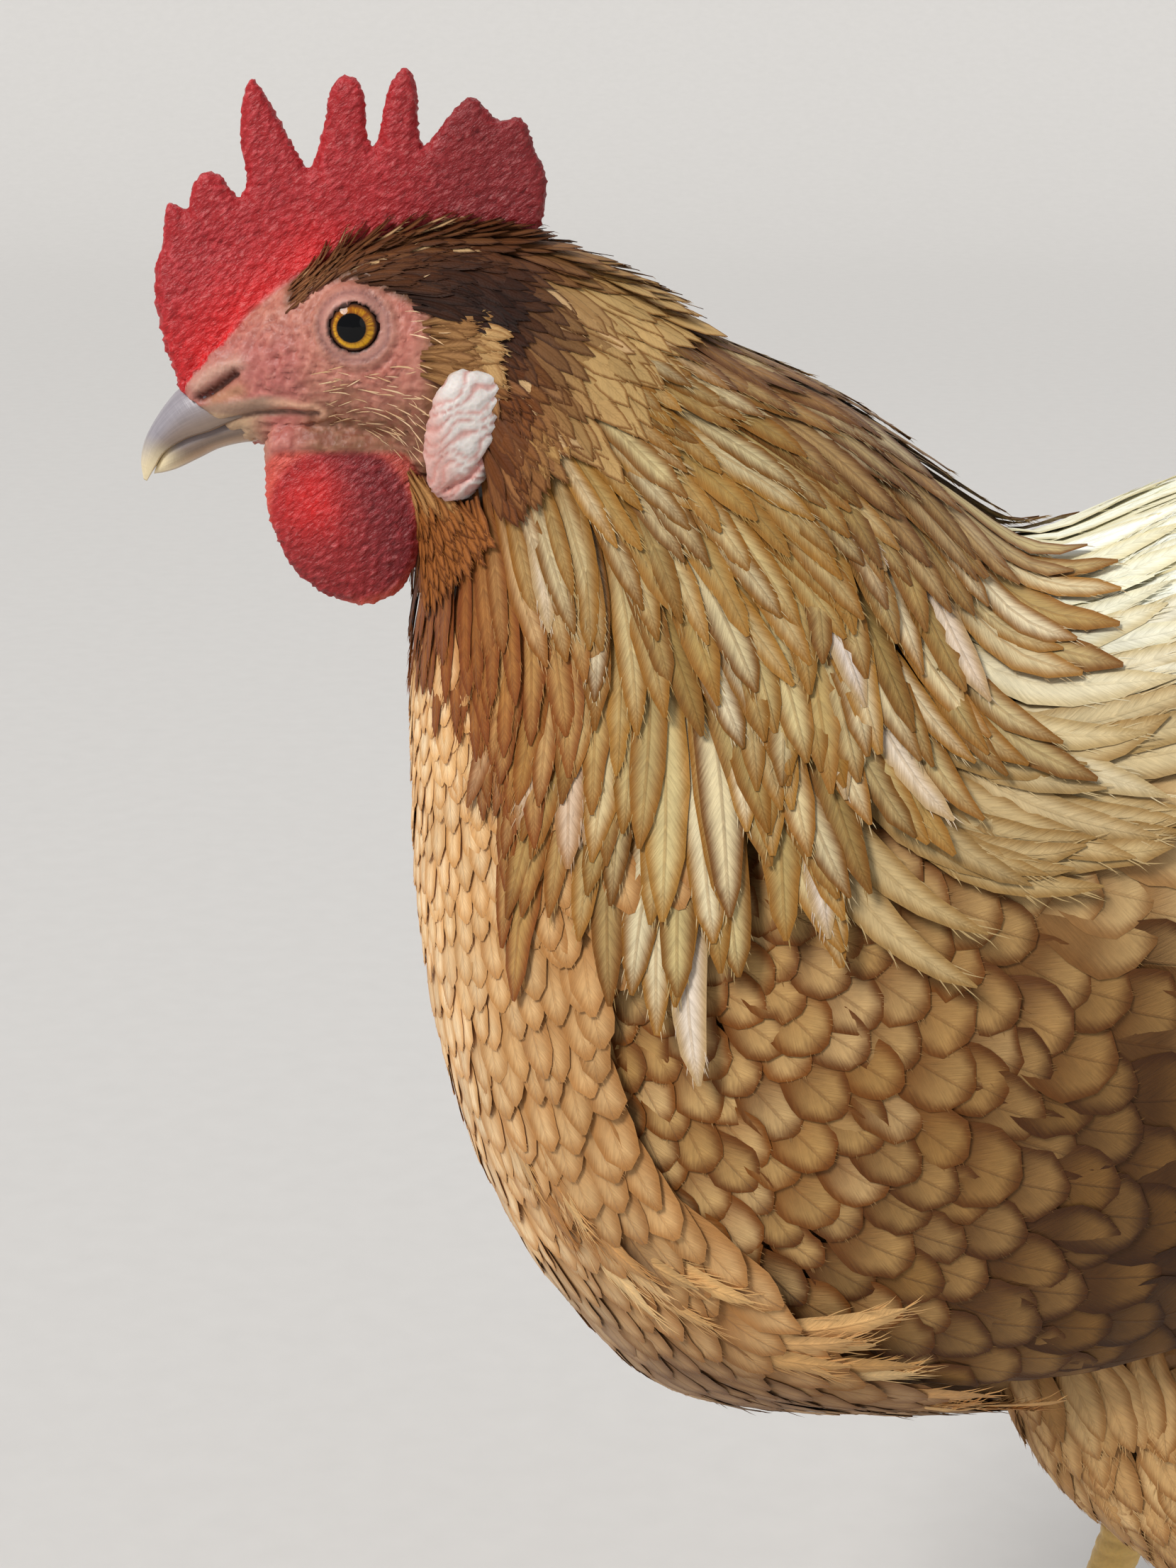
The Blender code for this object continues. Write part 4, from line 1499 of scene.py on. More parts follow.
@dataclass
class Skin:
    """The bare skin of the whole hen as one closed mesh, inside the coat."""

    body: Loft
    head_voxel: float = 0.66
    body_voxel: float = 3.0
    leg_voxel: float = 1.15
    depths: Path = (
        (0, 0.1), (3, 0.3), (4, 1.2), (5, 3.6), (6, 6), (7, 9), (8, 11), (10, 10), (14, 9), (17, 9),
        (20, 7),
    )

    def within(self, loft: Loft, first: float, last: float, depth: Callable[[Array], Array]) -> Shell:
        """A closed tube inside a loft, from its first to its last s, at a depth worked out from s.

        Args:
            loft: the loft.
            first: its first s.
            last: its last s.
            depth: the depth under the loft, from s.

        Returns:
            Points and faces.
        """
        s, t = np.meshgrid(np.linspace(first, last, 80), circle(96), indexing="ij")
        place, out = loft.at(s, t, loft.place, loft.out)
        return tube(place - out * depth(s)[..., None])

    def flap(self, shape: Flap, side: int) -> Shell:
        """A wattle or ear lobe on one side, cupped by 1 less the square of the way to its rim.

        Args:
            shape: the wattle or lobe.
            side: the sign of y.

        Returns:
            Points and faces.
        """
        places, faces = leaf(
            rounded(shape.corners, 0.2)[::-1], shape.centre, 2.2, lambda z: shape.half_thickness
        )
        dx, dz = places[:, 0] - shape.centre[0], places[:, 2] - shape.centre[1]
        far = np.hypot(dx / shape.half_length, dz / shape.half_height)
        places[:, 1] = -side * (places[:, 1] - shape.y - shape.cup * (1 - far**2))
        return places, faces

    def comb(self) -> Shell:
        """The single comb, thicker at its foot, with a slight wave.

        Returns:
            Points and faces.
        """
        places, faces = leaf(
            rounded(COMB, 0.16), COMB_HEART, 2.4,
            lambda z: 2.0 + (ease(56, 42, z) * 1.6 + ease(34, 22, z) * 1.2),
        )
        places[:, 1] += 0.7 * np.sin(places[:, 0] / 11) * ease(50, 74, places[:, 2])
        return places, faces

    def toe(self, angle: float, length: float, side: int) -> Shell:
        """A toe on the floor: a tapered tube with three soft pads, flat underneath.

        Args:
            angle: its angle from the front in degrees.
            length: its length.
            side: the sign of y.

        Returns:
            Points and faces.
        """
        v, turn = np.linspace(0, 1, 40)[:, None], circle(28)
        radius = (5.2 - 1.8 * v) * (1 + 0.08 * np.cos(v * 6 * math.pi - 0.8))
        radius = radius * np.sqrt(1 - ((v - 0.9) / 0.1).clip(0, 1) ** 2 * 0.75)
        up = np.maximum(np.sin(turn) * 0.82, -0.72) * radius + radius * 0.74 + 0.1
        return tube(foot_places(side, angle, 3 + v * (length - 3), np.cos(turn) * radius, up))

    def merge(self, name: str, shells: Sequence[Shell], voxel: float) -> bpy.types.Object:
        """Closed shells remade as one even mesh on a voxel grid and smoothed.

        Args:
            name: the mesh's name.
            shells: points and faces of each shell.
            voxel: the grid's size in millimetres.

        Returns:
            A new object.
        """
        plain = bpy.data.materials.get("plain") or bpy.data.materials.new("plain")
        firsts = np.cumsum([0] + [len(places) for places, _ in shells])
        faces = [part + first for (_, parts), first in zip(shells, firsts) for part in parts]
        rough = make_object(name, (np.concatenate([places for places, _ in shells]), faces), plain)
        shape = bmesh.new()
        shape.from_mesh(rough.data)
        bmesh.ops.remove_doubles(shape, verts=shape.verts, dist=0.005 * MM)
        bmesh.ops.recalc_face_normals(shape, faces=shape.faces)
        shape.to_mesh(rough.data)
        shape.free()
        remesh = rough.modifiers.new("even", "REMESH")
        remesh.mode, remesh.voxel_size = "VOXEL", voxel * MM
        relax = rough.modifiers.new("relax", "SMOOTH")
        relax.factor, relax.iterations = 0.5, 5
        return self.settle(rough)

    def settle(self, obj: bpy.types.Object) -> bpy.types.Object:
        """Applies an object's modifiers.

        Args:
            obj: the object.

        Returns:
            The same object.
        """
        seen = obj.evaluated_get(bpy.context.evaluated_depsgraph_get())
        mesh = bpy.data.meshes.new_from_object(seen)
        obj.modifiers.clear()
        obj.data = mesh
        return obj

    def build(self) -> bpy.types.Object:
        """Makes head, body and legs, unites them, and sculpts and paints the result.

        Returns:
            The skin.
        """
        head = [self.within(self.body, 0, 7.6, lambda s: along(self.depths, s) + 9 * ease(7.0, 7.6, s))]
        head.append(self.comb())
        head += [self.flap(shape, side) for shape in (WATTLE, LOBE) for side in SIDES.values()]
        trunk = [self.within(self.body, 6, 19.9, lambda s: along(self.depths, s) + 8 * ease(6.8, 6.0, s))]
        legs = []
        for side in SIDES.values():
            wing, thigh = Loft.sections(WING, side), Loft.sections(THIGH, side, leg=True)
            trunk.append(self.within(wing, 0.25, 7.2, lambda s: 1.5 + 2.2 * ease(8, 5, s)))
            trunk.append(self.within(thigh, 0, 3.6, lambda s: 4.2 - 2.0 * ease(2, 3.6, s)))
            shank = Loft.sections(SHANK, side, leg=True)
            legs.append(self.within(shank, 0, 6, lambda s: np.full(s.shape, 0.1)))
            legs += [self.toe(angle, length, side) for angle, length in TOES.values()]
        trunk.append(self.within(Loft.sections(TAIL), 0.0, 2.6, lambda s: np.full(s.shape, 6.0)))
        skin = self.merge("skin", head, self.head_voxel)
        parts = [self.merge("trunk_skin", trunk, self.body_voxel)]
        parts.append(self.merge("leg_skin", legs, self.leg_voxel))
        for part in parts:
            union = skin.modifiers.new(part.name, "BOOLEAN")
            union.operation, union.solver, union.object = "UNION", "EXACT", part
        mesh = self.settle(skin).data
        for part in parts:
            bpy.data.objects.remove(part)
        place = read(mesh.vertices, "co") / MM - (-HALF_LENGTH, 0, BACK_HEIGHT)
        place = Face(place).sculpt(read(mesh.vertex_normals, "vector"))
        put(mesh.vertices, "co", to_metres(place))
        mesh.update()
        mesh.shade_smooth()
        mesh.materials.clear()
        mesh.materials.append(skin_finish())
        colour, kinds = Face(place).paint()
        write_tint(skin, "tint", colour)
        write_attribute(skin, "kind", kinds)
        log.info("skin: %d faces", len(mesh.polygons))
        return skin


def near_path(x: Array, z: Array, path: Path) -> Array:
    """The distance from each place to a bent line: the least over its stretches.

    Args:
        x: the places' x.
        z: their z.
        path: the line's corners.

    Returns:
        A distance for each place.
    """
    best = np.full(x.shape, 1e3)
    for (ax, az), (bx, bz) in zip(path, path[1:]):
        dx, dz = bx - ax, bz - az
        share = np.clip(((x - ax) * dx + (z - az) * dz) / (dx * dx + dz * dz), 0, 1)
        best = np.minimum(best, np.hypot(x - ax - dx * share, z - az - dz * share))
    return best


def bell(distance: Array, radius: float) -> Array:
    """1 at distance 0, falling off as the exponential of less the square."""
    return np.exp(-((distance / radius) ** 2))


def layered(base: Array | Colour, *layers: tuple[Array | Colour, Array]) -> Array:
    """A colour painted over with others, each by its share at every point.

    Args:
        base: the first colour.
        *layers: the colours over it and their shares, from the lowest to the highest.

    Returns:
        A colour for each point.
    """
    for colour, share in layers:
        base = mix(base, colour, share)
    return base


@dataclass
class Face:
    """Folds, lids and nostrils, and the colours of the bare skin, worked out at its places."""

    place: Array
    slit: Path = ((12.2, 27.0), (15.4, 28.9), (18.8, 31.5))
    flap_line: Path = ((11.6, 29.0), (14.6, 31.6), (19.2, 33.4))
    mouth: Path = (
        (8.6, 19.5), (12.8, 20.9), (16.2, 22.4), (19.2, 23.5), (22.5, 24.4), (28, 25.0), (34.2, 24.8),
    )
    mouth_rim: Path = ((12, 23.4), (18, 24.6), (24, 25.9), (29, 26.0))
    lip: Path = ((17, 25.6), (22, 26.6), (28, 26.6), (34, 25.9), (35.0, 24.6))
    under_lip: Path = ((22, 21.6), (27, 22.8), (34, 23.6))
    jaw: Path = ((22, 18.4), (32, 18.9), (44, 18.2), (54, 16.6))
    lobe_fold: Path = ((57.0, 12.8), (61.5, 15.4), (66.4, 21.0))
    comb_foot: Path = ((9, 29), (14, 33), (20, 37), (27, 40))
    crown: Path = ((4, 20), (7, 27.5), (16, 38), (27, 47), (42, 55), (59, 57), (75, 54), (90, 47))
    brow: Path = ((27, 41.5), (30, 44), (34, 47.4), (40, 48.4), (45, 47.2), (51, 44.5), (56, 43))

    def __post_init__(self) -> None:
        """Works out the share of each kind of skin and the patterns that relief and colour share."""
        x, y, z = self.place.T
        self.beside = beside = np.abs(y)
        self.side = ease(3.0, 5.0, beside)
        front = ease(22, 14, x)
        comb = ease(-1.2, 1.0, z - along(self.crown, x) + 3.5 * front * ease(5.5, 4.2, beside))
        blade = ease(5.2, 4.0, beside) * front * ease(26, 28, z) * ease(24, 16, x)
        self.comb = np.maximum(comb * ease(90, 80, x), blade)
        wattle = ease(1.12, 1.0, WATTLE.share(x, z))
        hung, grown = ease(18.6, 17.2, z) * ease(7.2, 8.2, beside), ease(14.5, 13, z) * ease(51, 47, x)
        self.wattle = wattle * np.maximum(hung, grown)
        self.lobe = ease(1.1, 1.0, LOBE.share(x, z)) * ease(17.2, 18.4, beside)
        self.plain = (1 - self.comb) * (1 - self.wattle) * (1 - self.lobe)
        off_axis = np.hypot((x - EYE_PLACE[0]) / 1.03, z - EYE_PLACE[1])
        self.eye = off_axis + 50 * ease(9.5, 8.5, beside)
        self.strip = self.near(self.mouth_rim)
        stretched = self.place * (0.45, 1, 1.25)
        self.streak = wave_noise(stretched + 0.4 * self.noise(6, 8)[:, None], 1.7, 5)
        self.fine = self.noise(1.25, 10, 40)
        lean = np.stack([(x * 0.8 + z * 0.6) * 0.45, y, z * 0.8 - x * 0.6], 1)
        self.net = wave_noise(lean, 1.15, 15, 40)
        self.crease = np.sin((z * 0.86 - x * 0.50) * 2 * math.pi / 2.1 + 2.6 * self.noise(8, 13))

    def near(self, path: Path) -> Array:
        """The distance to a bent line, seen from the side."""
        return near_path(self.place[:, 0], self.place[:, 2], path)

    def noise(self, size: float, seed: int, waves: int = 24) -> Array:
        """Smooth noise at the places."""
        return wave_noise(self.place, size, seed, waves)

    def sculpt(self, out: Array) -> Array:
        """Moves skin in and out by sums of bells about lines, rings about the eye, and noise.

        Args:
            out: the skin's normals.

        Returns:
            The new places.
        """
        x, y, z = self.place.T
        r, beside, side = self.eye, self.beside, self.side
        red = np.maximum(self.comb, self.wattle)
        bare = ease(70, 62, x) * ease(5, 9, z) * (1 - red) * (1 - self.lobe) * ease(59, 54, x)
        ripple = np.sin((r + self.noise(5.0, 3) * 0.25) * 2 * math.pi / 1.7)
        move = bare * (
            -0.30 * bell(r - 6.05, 0.36) + 0.50 * bell(r - 6.9, 0.5)
            - 0.35 * bell(r - 7.9, 0.45) - 2.2 * ease(4.45, 3.9, r)
            + 0.26 * ripple * ease(7.6, 8.4, r) * ease(13.5, 10.5, r)
        )
        hollow = self.near(((14.5, 26.4), (19, 28.2)))
        move += side * (
            1.0 * bell(self.near(self.flap_line), 1.7) - 1.9 * bell(self.near(self.slit), 0.75)
            - 0.55 * bell(hollow, 1.6) + 0.45 * bell(self.near(self.lip), 0.9)
            - 0.75 * bell(self.near(self.mouth), 0.5) + 0.35 * bell(self.near(self.under_lip), 0.9)
            + 0.8 * bell(self.near(self.jaw), 2.2) * bare
        )
        lores = ease(35, 31, x) * ease(17, 21, x) * ease(46, 40, z)
        grain = self.noise(1.15, 6, 40)
        folds = wave_noise(self.place * (1, 1, 0.6), 2.6, 7)
        wrinkle = 0.16 * self.streak * (0.4 + lores) + 0.08 * grain * (1 - 0.6 * lores) + 0.10 * folds
        move += wrinkle * (1 - ease(3.2, 1.8, self.strip) * side) * bare * ease(5.6, 7.0, r)
        furrow = np.sin((x * 0.86 - z * 0.51) * 2 * math.pi / 2.3 + 1.6 * self.noise(7, 9))
        at_foot = ease(60, 40, z) * ease(34, 20, x) * self.comb
        move += red * (0.05 * self.fine + 0.13 * self.net) + 0.16 * furrow * at_foot
        foot = bell(self.near(self.comb_foot), 3.0) * ease(8, 3, beside)
        move += 0.5 * np.abs(self.noise(3.2, 12)) * foot
        fold = 1.1 * bell(self.near(self.lobe_fold), 0.55)
        move += self.lobe * (0.2 * self.crease + 0.04 * self.fine - fold)
        scutes = ease(0.0, 0.35, np.abs((z / SCUTE) % 1.0 - 0.5) * 2)
        move += ease(-212, -216, z) * ease(-286, -280, z) * 0.35 * scutes
        move += ease(-205, -212, z) * 0.06 * grain
        from_foot = np.hypot(x - HALF_LENGTH + FAR_LEG_FORWARD * (y > 0), beside - FOOT_APART)
        plates = ease(0.0, 0.4, np.abs((from_foot / 3.1) % 1.0 - 0.5) * 2)
        move += ease(-285, -288, z) * 0.25 * plates * ease(-296.5, -293, z)
        moved = self.place + out * move[:, None]
        beside = np.abs(moved[:, 1])
        ball = EYE_Y + np.sqrt(np.maximum(EYE_RADIUS**2 - r**2, 0)) + 0.45 + 0.35 * bell(r - 5.0, 0.5)
        lid = np.where(r > 4.15, np.maximum(beside, ball), beside)
        blend = ease(7.4, 6.2, r) * bare
        moved[:, 1] = np.sign(y) * (beside * (1 - blend) + lid * blend)
        return moved

    def paint(self) -> tuple[Array, Array]:
        """Colours and kinds of the skin.

        Returns:
            Screen colours, and for each point how red and grainy, how horny and how wet it is.
        """
        x, _, z = self.place.T
        r, side = self.eye, self.side
        leg = ease(-202, -212, z)
        # The second value paints a highlight: paler on the tops of the raised grain of comb and wattles.
        rough, grain_highlight = self.streak + 0.3 * self.fine, ease(0.2, 1.5, self.net + 0.2 * self.fine) * 0.4
        colour = layered(
            np.tile((184.0, 120, 102), (len(x), 1)),
            ((126, 84, 58), ease(32, 22, z + self.noise(9, 21) * 1.5) * ease(24, 34, x) * 0.9),
            ((172, 88, 86), ease(35, 28, x) * ease(44, 34, z) * 0.6),
            ((176, 84, 74), bell(r - 9.5, 1.6) * 0.35 * ease(40, 46, x)),
            # Painted light and shade: paler on the wrinkles' ridges, darker in their grooves.
            ((214, 150, 132), ease(0.2, 1.2, rough) * 0.32),
            ((142, 70, 58), ease(-0.2, -1.3, rough) * 0.36),
            ((166, 116, 106), bell(r - 5.7, 1.3) * 0.85),
            ((200, 150, 134), bell(r - 5.2, 0.4) * 0.6),
            ((112, 72, 66), bell(r - 6.2, 0.3) * 0.5),
            ((70, 44, 38), ease(4.75, 4.45, r)),
            ((168, 122, 100), bell(r - 7.0, 0.5) * 0.3),
            ((128, 86, 50), ease(52, 57, x)),
            ((96, 62, 38), ease(-0.5, 1.5, z - along(self.brow, x)) * ease(27, 30, x)),
            ((196, 152, 134), side * bell(self.near(self.flap_line), 1.9) * 0.95),
            ((176, 128, 96), side * bell(self.near(((14.5, 26.6), (19.5, 28.6))), 1.7) * 0.85),
            ((74, 34, 26), side * bell(self.near(self.slit), 0.8)),
            ((150, 118, 98), side * ease(2.4, 1.4, self.strip) * ease(31, 24, x)),
            ((216, 168, 138), side * bell(self.near(self.lip), 0.9) * ease(23, 28, x) * 0.85),
            ((184, 150, 118), ease(27, 20, x) * ease(24.6, 23.4, z) * side),
            ((92, 58, 44), side * bell(self.near(self.mouth), 0.42) * 0.85),
        )
        red = layered(
            (166, 24, 30),
            ((222, 100, 106), grain_highlight),
            # Painted light and shade: the comb is brighter red low at the front and darker towards the
            # rear.
            ((222, 20, 22), bell(self.near(((14, 34), (22, 42), (34, 50))), 8) * 0.75),
            ((112, 18, 22), ease(44, 64, x) * 0.7),
        )
        wattle = layered(
            (140, 24, 26),
            # Painted light and shade: the wattle is brighter red at its front middle and darker towards
            # the rear.
            ((212, 18, 16), bell(np.hypot(x - 32.5, z - 9), 7.5) * 0.85),
            ((104, 18, 26), ease(35, 45, x + 0.3 * (z - 8)) * 0.55),
            ((208, 92, 96), grain_highlight),
            ((220, 104, 84), ease(0.84, 0.98, WATTLE.share(x, z, 0.0)) * 0.7),
        )
        lobe = layered(
            (216, 208, 202),
            ((190, 120, 110), ease(-0.1, -0.9, self.crease) * 0.6),
            ((206, 124, 112), bell(self.near(self.lobe_fold), 0.7) * 0.8),
            ((200, 134, 122), ease(60, 55, x + 0.25 * (z - 22)) * 0.6),
        )
        throat = ease(8, 4, z) * (1 - self.wattle) * (1 - self.lobe) * ease(40, 46, x)
        grooves = ease(0.2, 0.0, np.abs((z / SCUTE) % 1.0 - 0.5)) * 0.4
        colour = layered(
            colour,
            (red, self.comb),
            (wattle, self.wattle),
            (lobe, self.lobe),
            ((132, 92, 50), np.clip(ease(62, 68, x) + throat, 0, 1) * self.plain),
            ((158, 112, 62), ease(-20, -50, z)),
            ((218, 194, 150), ease(150, 175, x) * ease(-60, -20, z)),
            (layered((214, 178, 104), ((188, 150, 84), grooves)), leg),
        )
        wet = np.maximum(self.lobe, bell(r - 5, 0.8))
        return colour, np.stack([np.maximum(self.comb, self.wattle), leg, wet], 1)


def skin_finish() -> bpy.types.Material:
    """Bare skin: painted colour with mottling, fine pores, and a grain on comb and wattles with painted
    highlights on it.

    Returns:
        The material.
    """
    made = Finish("bare_skin", Specular_IOR_Level=0.42, Subsurface_Weight=0.12,
                  Subsurface_Scale=0.004, Subsurface_Radius=(1.0, 0.35, 0.2))
    place = made.object_place()
    red, horny, _ = made.parts(made.attribute("kind", "Vector"))
    pores = made.node("TexVoronoi", {"feature": "F1"}, "Distance", Vector=place, Scale=1100.0)
    mottle, broad = made.noise(place, 420.0, 3.0, 0.6), made.noise(place, 110.0)
    x, y, z = made.parts(place)
    lean = made.vector(x * 480.0 + z * 360.0, y * 700.0, z * 1150.0 - x * 860.0)
    net = made.noise(lean, 1.0, 3.0, 0.6)
    # Mottling and pores, and on comb and wattles a painted highlight that brightens the raised grain.
    light = (mottle - 0.5) * 0.30 + (broad - 0.5) * 0.22 + (pores - 0.4) * 0.12 + (net - 0.5) * red * 0.7
    colour = made.brighten(made.attribute("tint"), light + 1.0)
    # Painted highlight: paler pink on the tops of the grain of comb and wattles.
    colour = made.blend(colour, ((236, 168, 164), net.step(0.55, 0.75) * red * 0.22))
    rough = (mottle - 0.5) * 0.25 + 0.50 - red * 0.04 - horny * 0.05
    return made.end(colour, rough, pores * 0.3 + mottle * 0.3 + net * red * 1.6, 0.00034)


@dataclass
class Bill:
    """The upper and lower horn: a half width carried between the ridge and the cutting edge."""

    ridge: Path = (
        (17.5, 30), (12.5, 29.4), (8.2, 28), (5.4, 25.3), (2.7, 21.5), (0.9, 18), (0.1, 14.4), (0.4, 10.9),
    )
    edge: Path = (
        (24, 24.4), (18.5, 23.2), (13.2, 21), (9.6, 19.7), (6.4, 17.9), (4.2, 16), (2.6, 13.4), (1, 10.6),
    )
    width: tuple[float, ...] = (7.4, 6.9, 6.1, 5.2, 4.0, 2.8, 1.7, 0.3)
    under_top: Path = (
        (24, 25.0), (19, 23.9), (14, 21.9), (10, 20.4), (6.9, 18.6), (4.8, 16.6), (3.2, 14.0),
    )
    under_low: Path = (
        (25, 17.8), (20, 17.9), (15, 16.8), (11, 14.9), (7.0, 13.0), (4.4, 12.2), (2.4, 11.9),
    )
    under_width: tuple[float, ...] = (7.0, 6.5, 5.7, 4.9, 3.8, 2.5, 0.8)

    def upper(self, finish: bpy.types.Material) -> bpy.types.Object:
        """The hooked upper horn: an arch from edge to edge over the ridge, hollow underneath.

        Args:
            finish: its material.

        Returns:
            The piece.
        """
        c, s = np.cos(circle(64)), np.sin(circle(64))
        up = np.where(c > 0, np.abs(c) ** 0.9, -0.10 * np.abs(c))
        out = np.sign(s) * np.abs(s) ** 0.92 * (1 - 0.12 * np.clip(up, 0, 1))
        return self._horn("bill_horn_upper", (self.ridge, self.edge, self.width), up, out, finish)

    def lower(self, finish: bpy.types.Material) -> bpy.types.Object:
        """The lower horn: a shallow keel under the upper one's edge.

        Args:
            finish: its material.

        Returns:
            The piece.
        """
        up = (np.cos(circle(48)) + 1) / 2
        out = np.sin(circle(48)) * (0.8 + 0.2 * up)
        lines = (self.under_top, self.under_low, self.under_width)
        return self._horn("bill_horn_lower", lines, up, out, finish)

    def _horn(
        self, name: str, lines: tuple[Path, Path, tuple[float, ...]], up: Array, out: Array,
        finish: bpy.types.Material,
    ) -> bpy.types.Object:
        """A ring carried along the horn, which keeps the way to its tip and to its ridge.

        Args:
            name: the piece's name.
            lines: the upper line, the lower line and the half widths.
            up: the ring's points from the lower line to the upper one.
            out: its points across, in half widths.
            finish: its material.

        Returns:
            The piece.
        """
        table = smooth_rows([(*a, *b, w) for a, b, w in zip(*lines)], 10)[:, None]
        flat = table[..., 2:4] + (table[..., :2] - table[..., 2:4]) * up[:, None]
        place = np.stack([flat[..., 0], table[..., 4] * out, flat[..., 1]], -1)
        return make_horn(name, place, (np.cos(circle(len(up))) + 1) / 2, finish)


def make_horn(name: str, place: Array, high: Array, finish: bpy.types.Material) -> bpy.types.Object:
    """A horn that keeps how far along it a point is, from 0 to 1, and how near its ridge.

    Args:
        name: the piece's name.
        place: its rings.
        high: how near the ridge each point of a ring is.
        finish: its material.

    Returns:
        The piece.
    """
    made = make_object(name, tube(place), finish)
    onward = np.repeat(np.linspace(0, 1, len(place)), len(high))
    write_attribute(made, "horn", np.stack([onward, np.tile(high, len(place)), 0 * onward], 1))
    return made


def horn_finish() -> bpy.types.Material:
    """Horn: a painted highlight of blue-grey on the ridge, painted shade below, cream to the tip and the
    cutting edge, with fine growth lines.

    Returns:
        The material.
    """
    made = Finish("bill_horn", Specular_IOR_Level=0.5, Coat_Weight=0.25, Coat_Roughness=0.25)
    onward, up, _ = made.parts(made.attribute("horn", "Vector"))
    streak = made.noise(made.vector(onward * 2.2, up * 26.0), 1.0, 3.0, 0.6)
    rings = made.noise(made.vector(onward * 46.0, up * 1.5), 1.0)
    fine = made.noise(made.object_place(), 900.0)
    colour = made.blend(
        (124, 104, 90),
        # Painted highlight: lighter blue-grey along the ridge.
        ((150, 144, 150), up.step(0.5, 0.86)),
        ((180, 142, 104), up.step(0.46, 0.14) * 0.9),
        ((234, 216, 176), (onward - up * 0.2 + 0.2).step(0.62, 1.0)),
        # Painted shade: darker along the underside of each horn.
        ((138, 102, 76), up.step(0.12, 0.02) * 0.6),
    )
    light = (streak - 0.5) * 0.6 + (rings - 0.5) * 0.12 + (fine - 0.5) * 0.12 + 1.0
    return made.end(made.brighten(colour, light), fine * 0.2 + 0.26, rings * 0.6 + streak * 0.5, 0.00012)


def eye_piece(name: str, side: int, finish: bpy.types.Material) -> bpy.types.Object:
    """An eyeball with a bulged front: a ball of rings about the axis that looks sideways.

    Args:
        name: the piece's name.
        side: the sign of y.
        finish: its material.

    Returns:
        The piece, which keeps the distance from the pupil's middle and the height.
    """
    lean, turn = np.linspace(0.0, math.pi, 60)[:, None] + 1e-4, circle(72)
    radius = EYE_RADIUS + 0.45 * bell(lean, 0.5)
    dx, dz = radius * np.sin(lean) * np.cos(turn), radius * np.sin(lean) * np.sin(turn)
    y = side * (EYE_Y + radius * np.cos(lean))
    place, faces = tube(np.stack(np.broadcast_arrays(EYE_PLACE[0] + dx, y, EYE_PLACE[1] + dz), -1))
    made = make_object(name, (place, [part[:, ::side] for part in faces]), finish)
    dx, dz, behind = dx.ravel(), dz.ravel(), (np.abs(place[:, 1]) < EYE_Y) * 10.0
    rings = [np.hypot(dx + shift, dz) + behind for shift in (0, 0.35)]
    write_attribute(made, "ring", np.stack([*rings, np.arctan2(dz, dx)], 1))
    write_attribute(made, "high", dz)
    return made


def eye_finish() -> bpy.types.Material:
    """A glossy eye: black pupil, amber iris with spokes, dark rim.

    Returns:
        The material.
    """
    made = Finish("eye_amber", Roughness=0.06, Specular_IOR_Level=0.22)
    iris, pupil, angle = made.parts(made.attribute("ring", "Vector"))
    high = made.attribute("high", "Fac")
    spokes = made.noise(made.vector(angle * 9.0, iris * 0.5), 1.0, 3.0, 0.6)
    specks = made.noise(made.object_place(), 2500.0)
    # Painted shade: the iris's pale spokes fade towards its top.
    pale_spokes_shaded_above = (spokes - high * 0.06).step(0.25, 0.75)
    colour = made.blend(
        (150, 84, 22),
        ((236, 176, 40), pale_spokes_shaded_above),
        ((120, 66, 24), pupil.step(3.2, 2.6) * 0.7),
        ((96, 54, 26), (iris + (specks - 0.5) * 0.3).step(3.4, 3.9)),
        ((28, 18, 16), iris.step(3.9, 4.2)),
        ((3, 3, 5), (pupil + (specks - 0.5) * 0.12).step(2.72, 2.52)),
    )
    return made.end(colour)


def claw_piece(
    name: str, toe: tuple[float, float], side: int, finish: bpy.types.Material
) -> bpy.types.Object:
    """A curved claw at a toe's end: a tapering tube that arches to the floor.

    Args:
        name: the piece's name.
        toe: the toe's angle from the front in degrees, and its length.
        side: the sign of y.
        finish: its material.

    Returns:
        The piece.
    """
    v, turn = np.linspace(0, 1, 24)[:, None], circle(24)
    radius = 2.3 * (1 - v) ** 0.75 + 0.25
    middle = 3.1 - 2.5 * v**1.6 + 1.1 * np.sin(v * math.pi) * (1 - v)
    reach, up = toe[1] - 1.5 + v * 13, np.sin(turn) * radius + middle
    place = foot_places(side, toe[0], reach, np.cos(turn) * radius * 0.85, up)
    return make_horn(name, place, np.full(24, 0.5), finish)


@dataclass(frozen=True)
class Lamp:
    """A large soft light: where it stands, its spread in degrees, its power and its colour."""

    name: str
    place: tuple[float, float, float]
    spread: float
    power: float
    colour: Colour


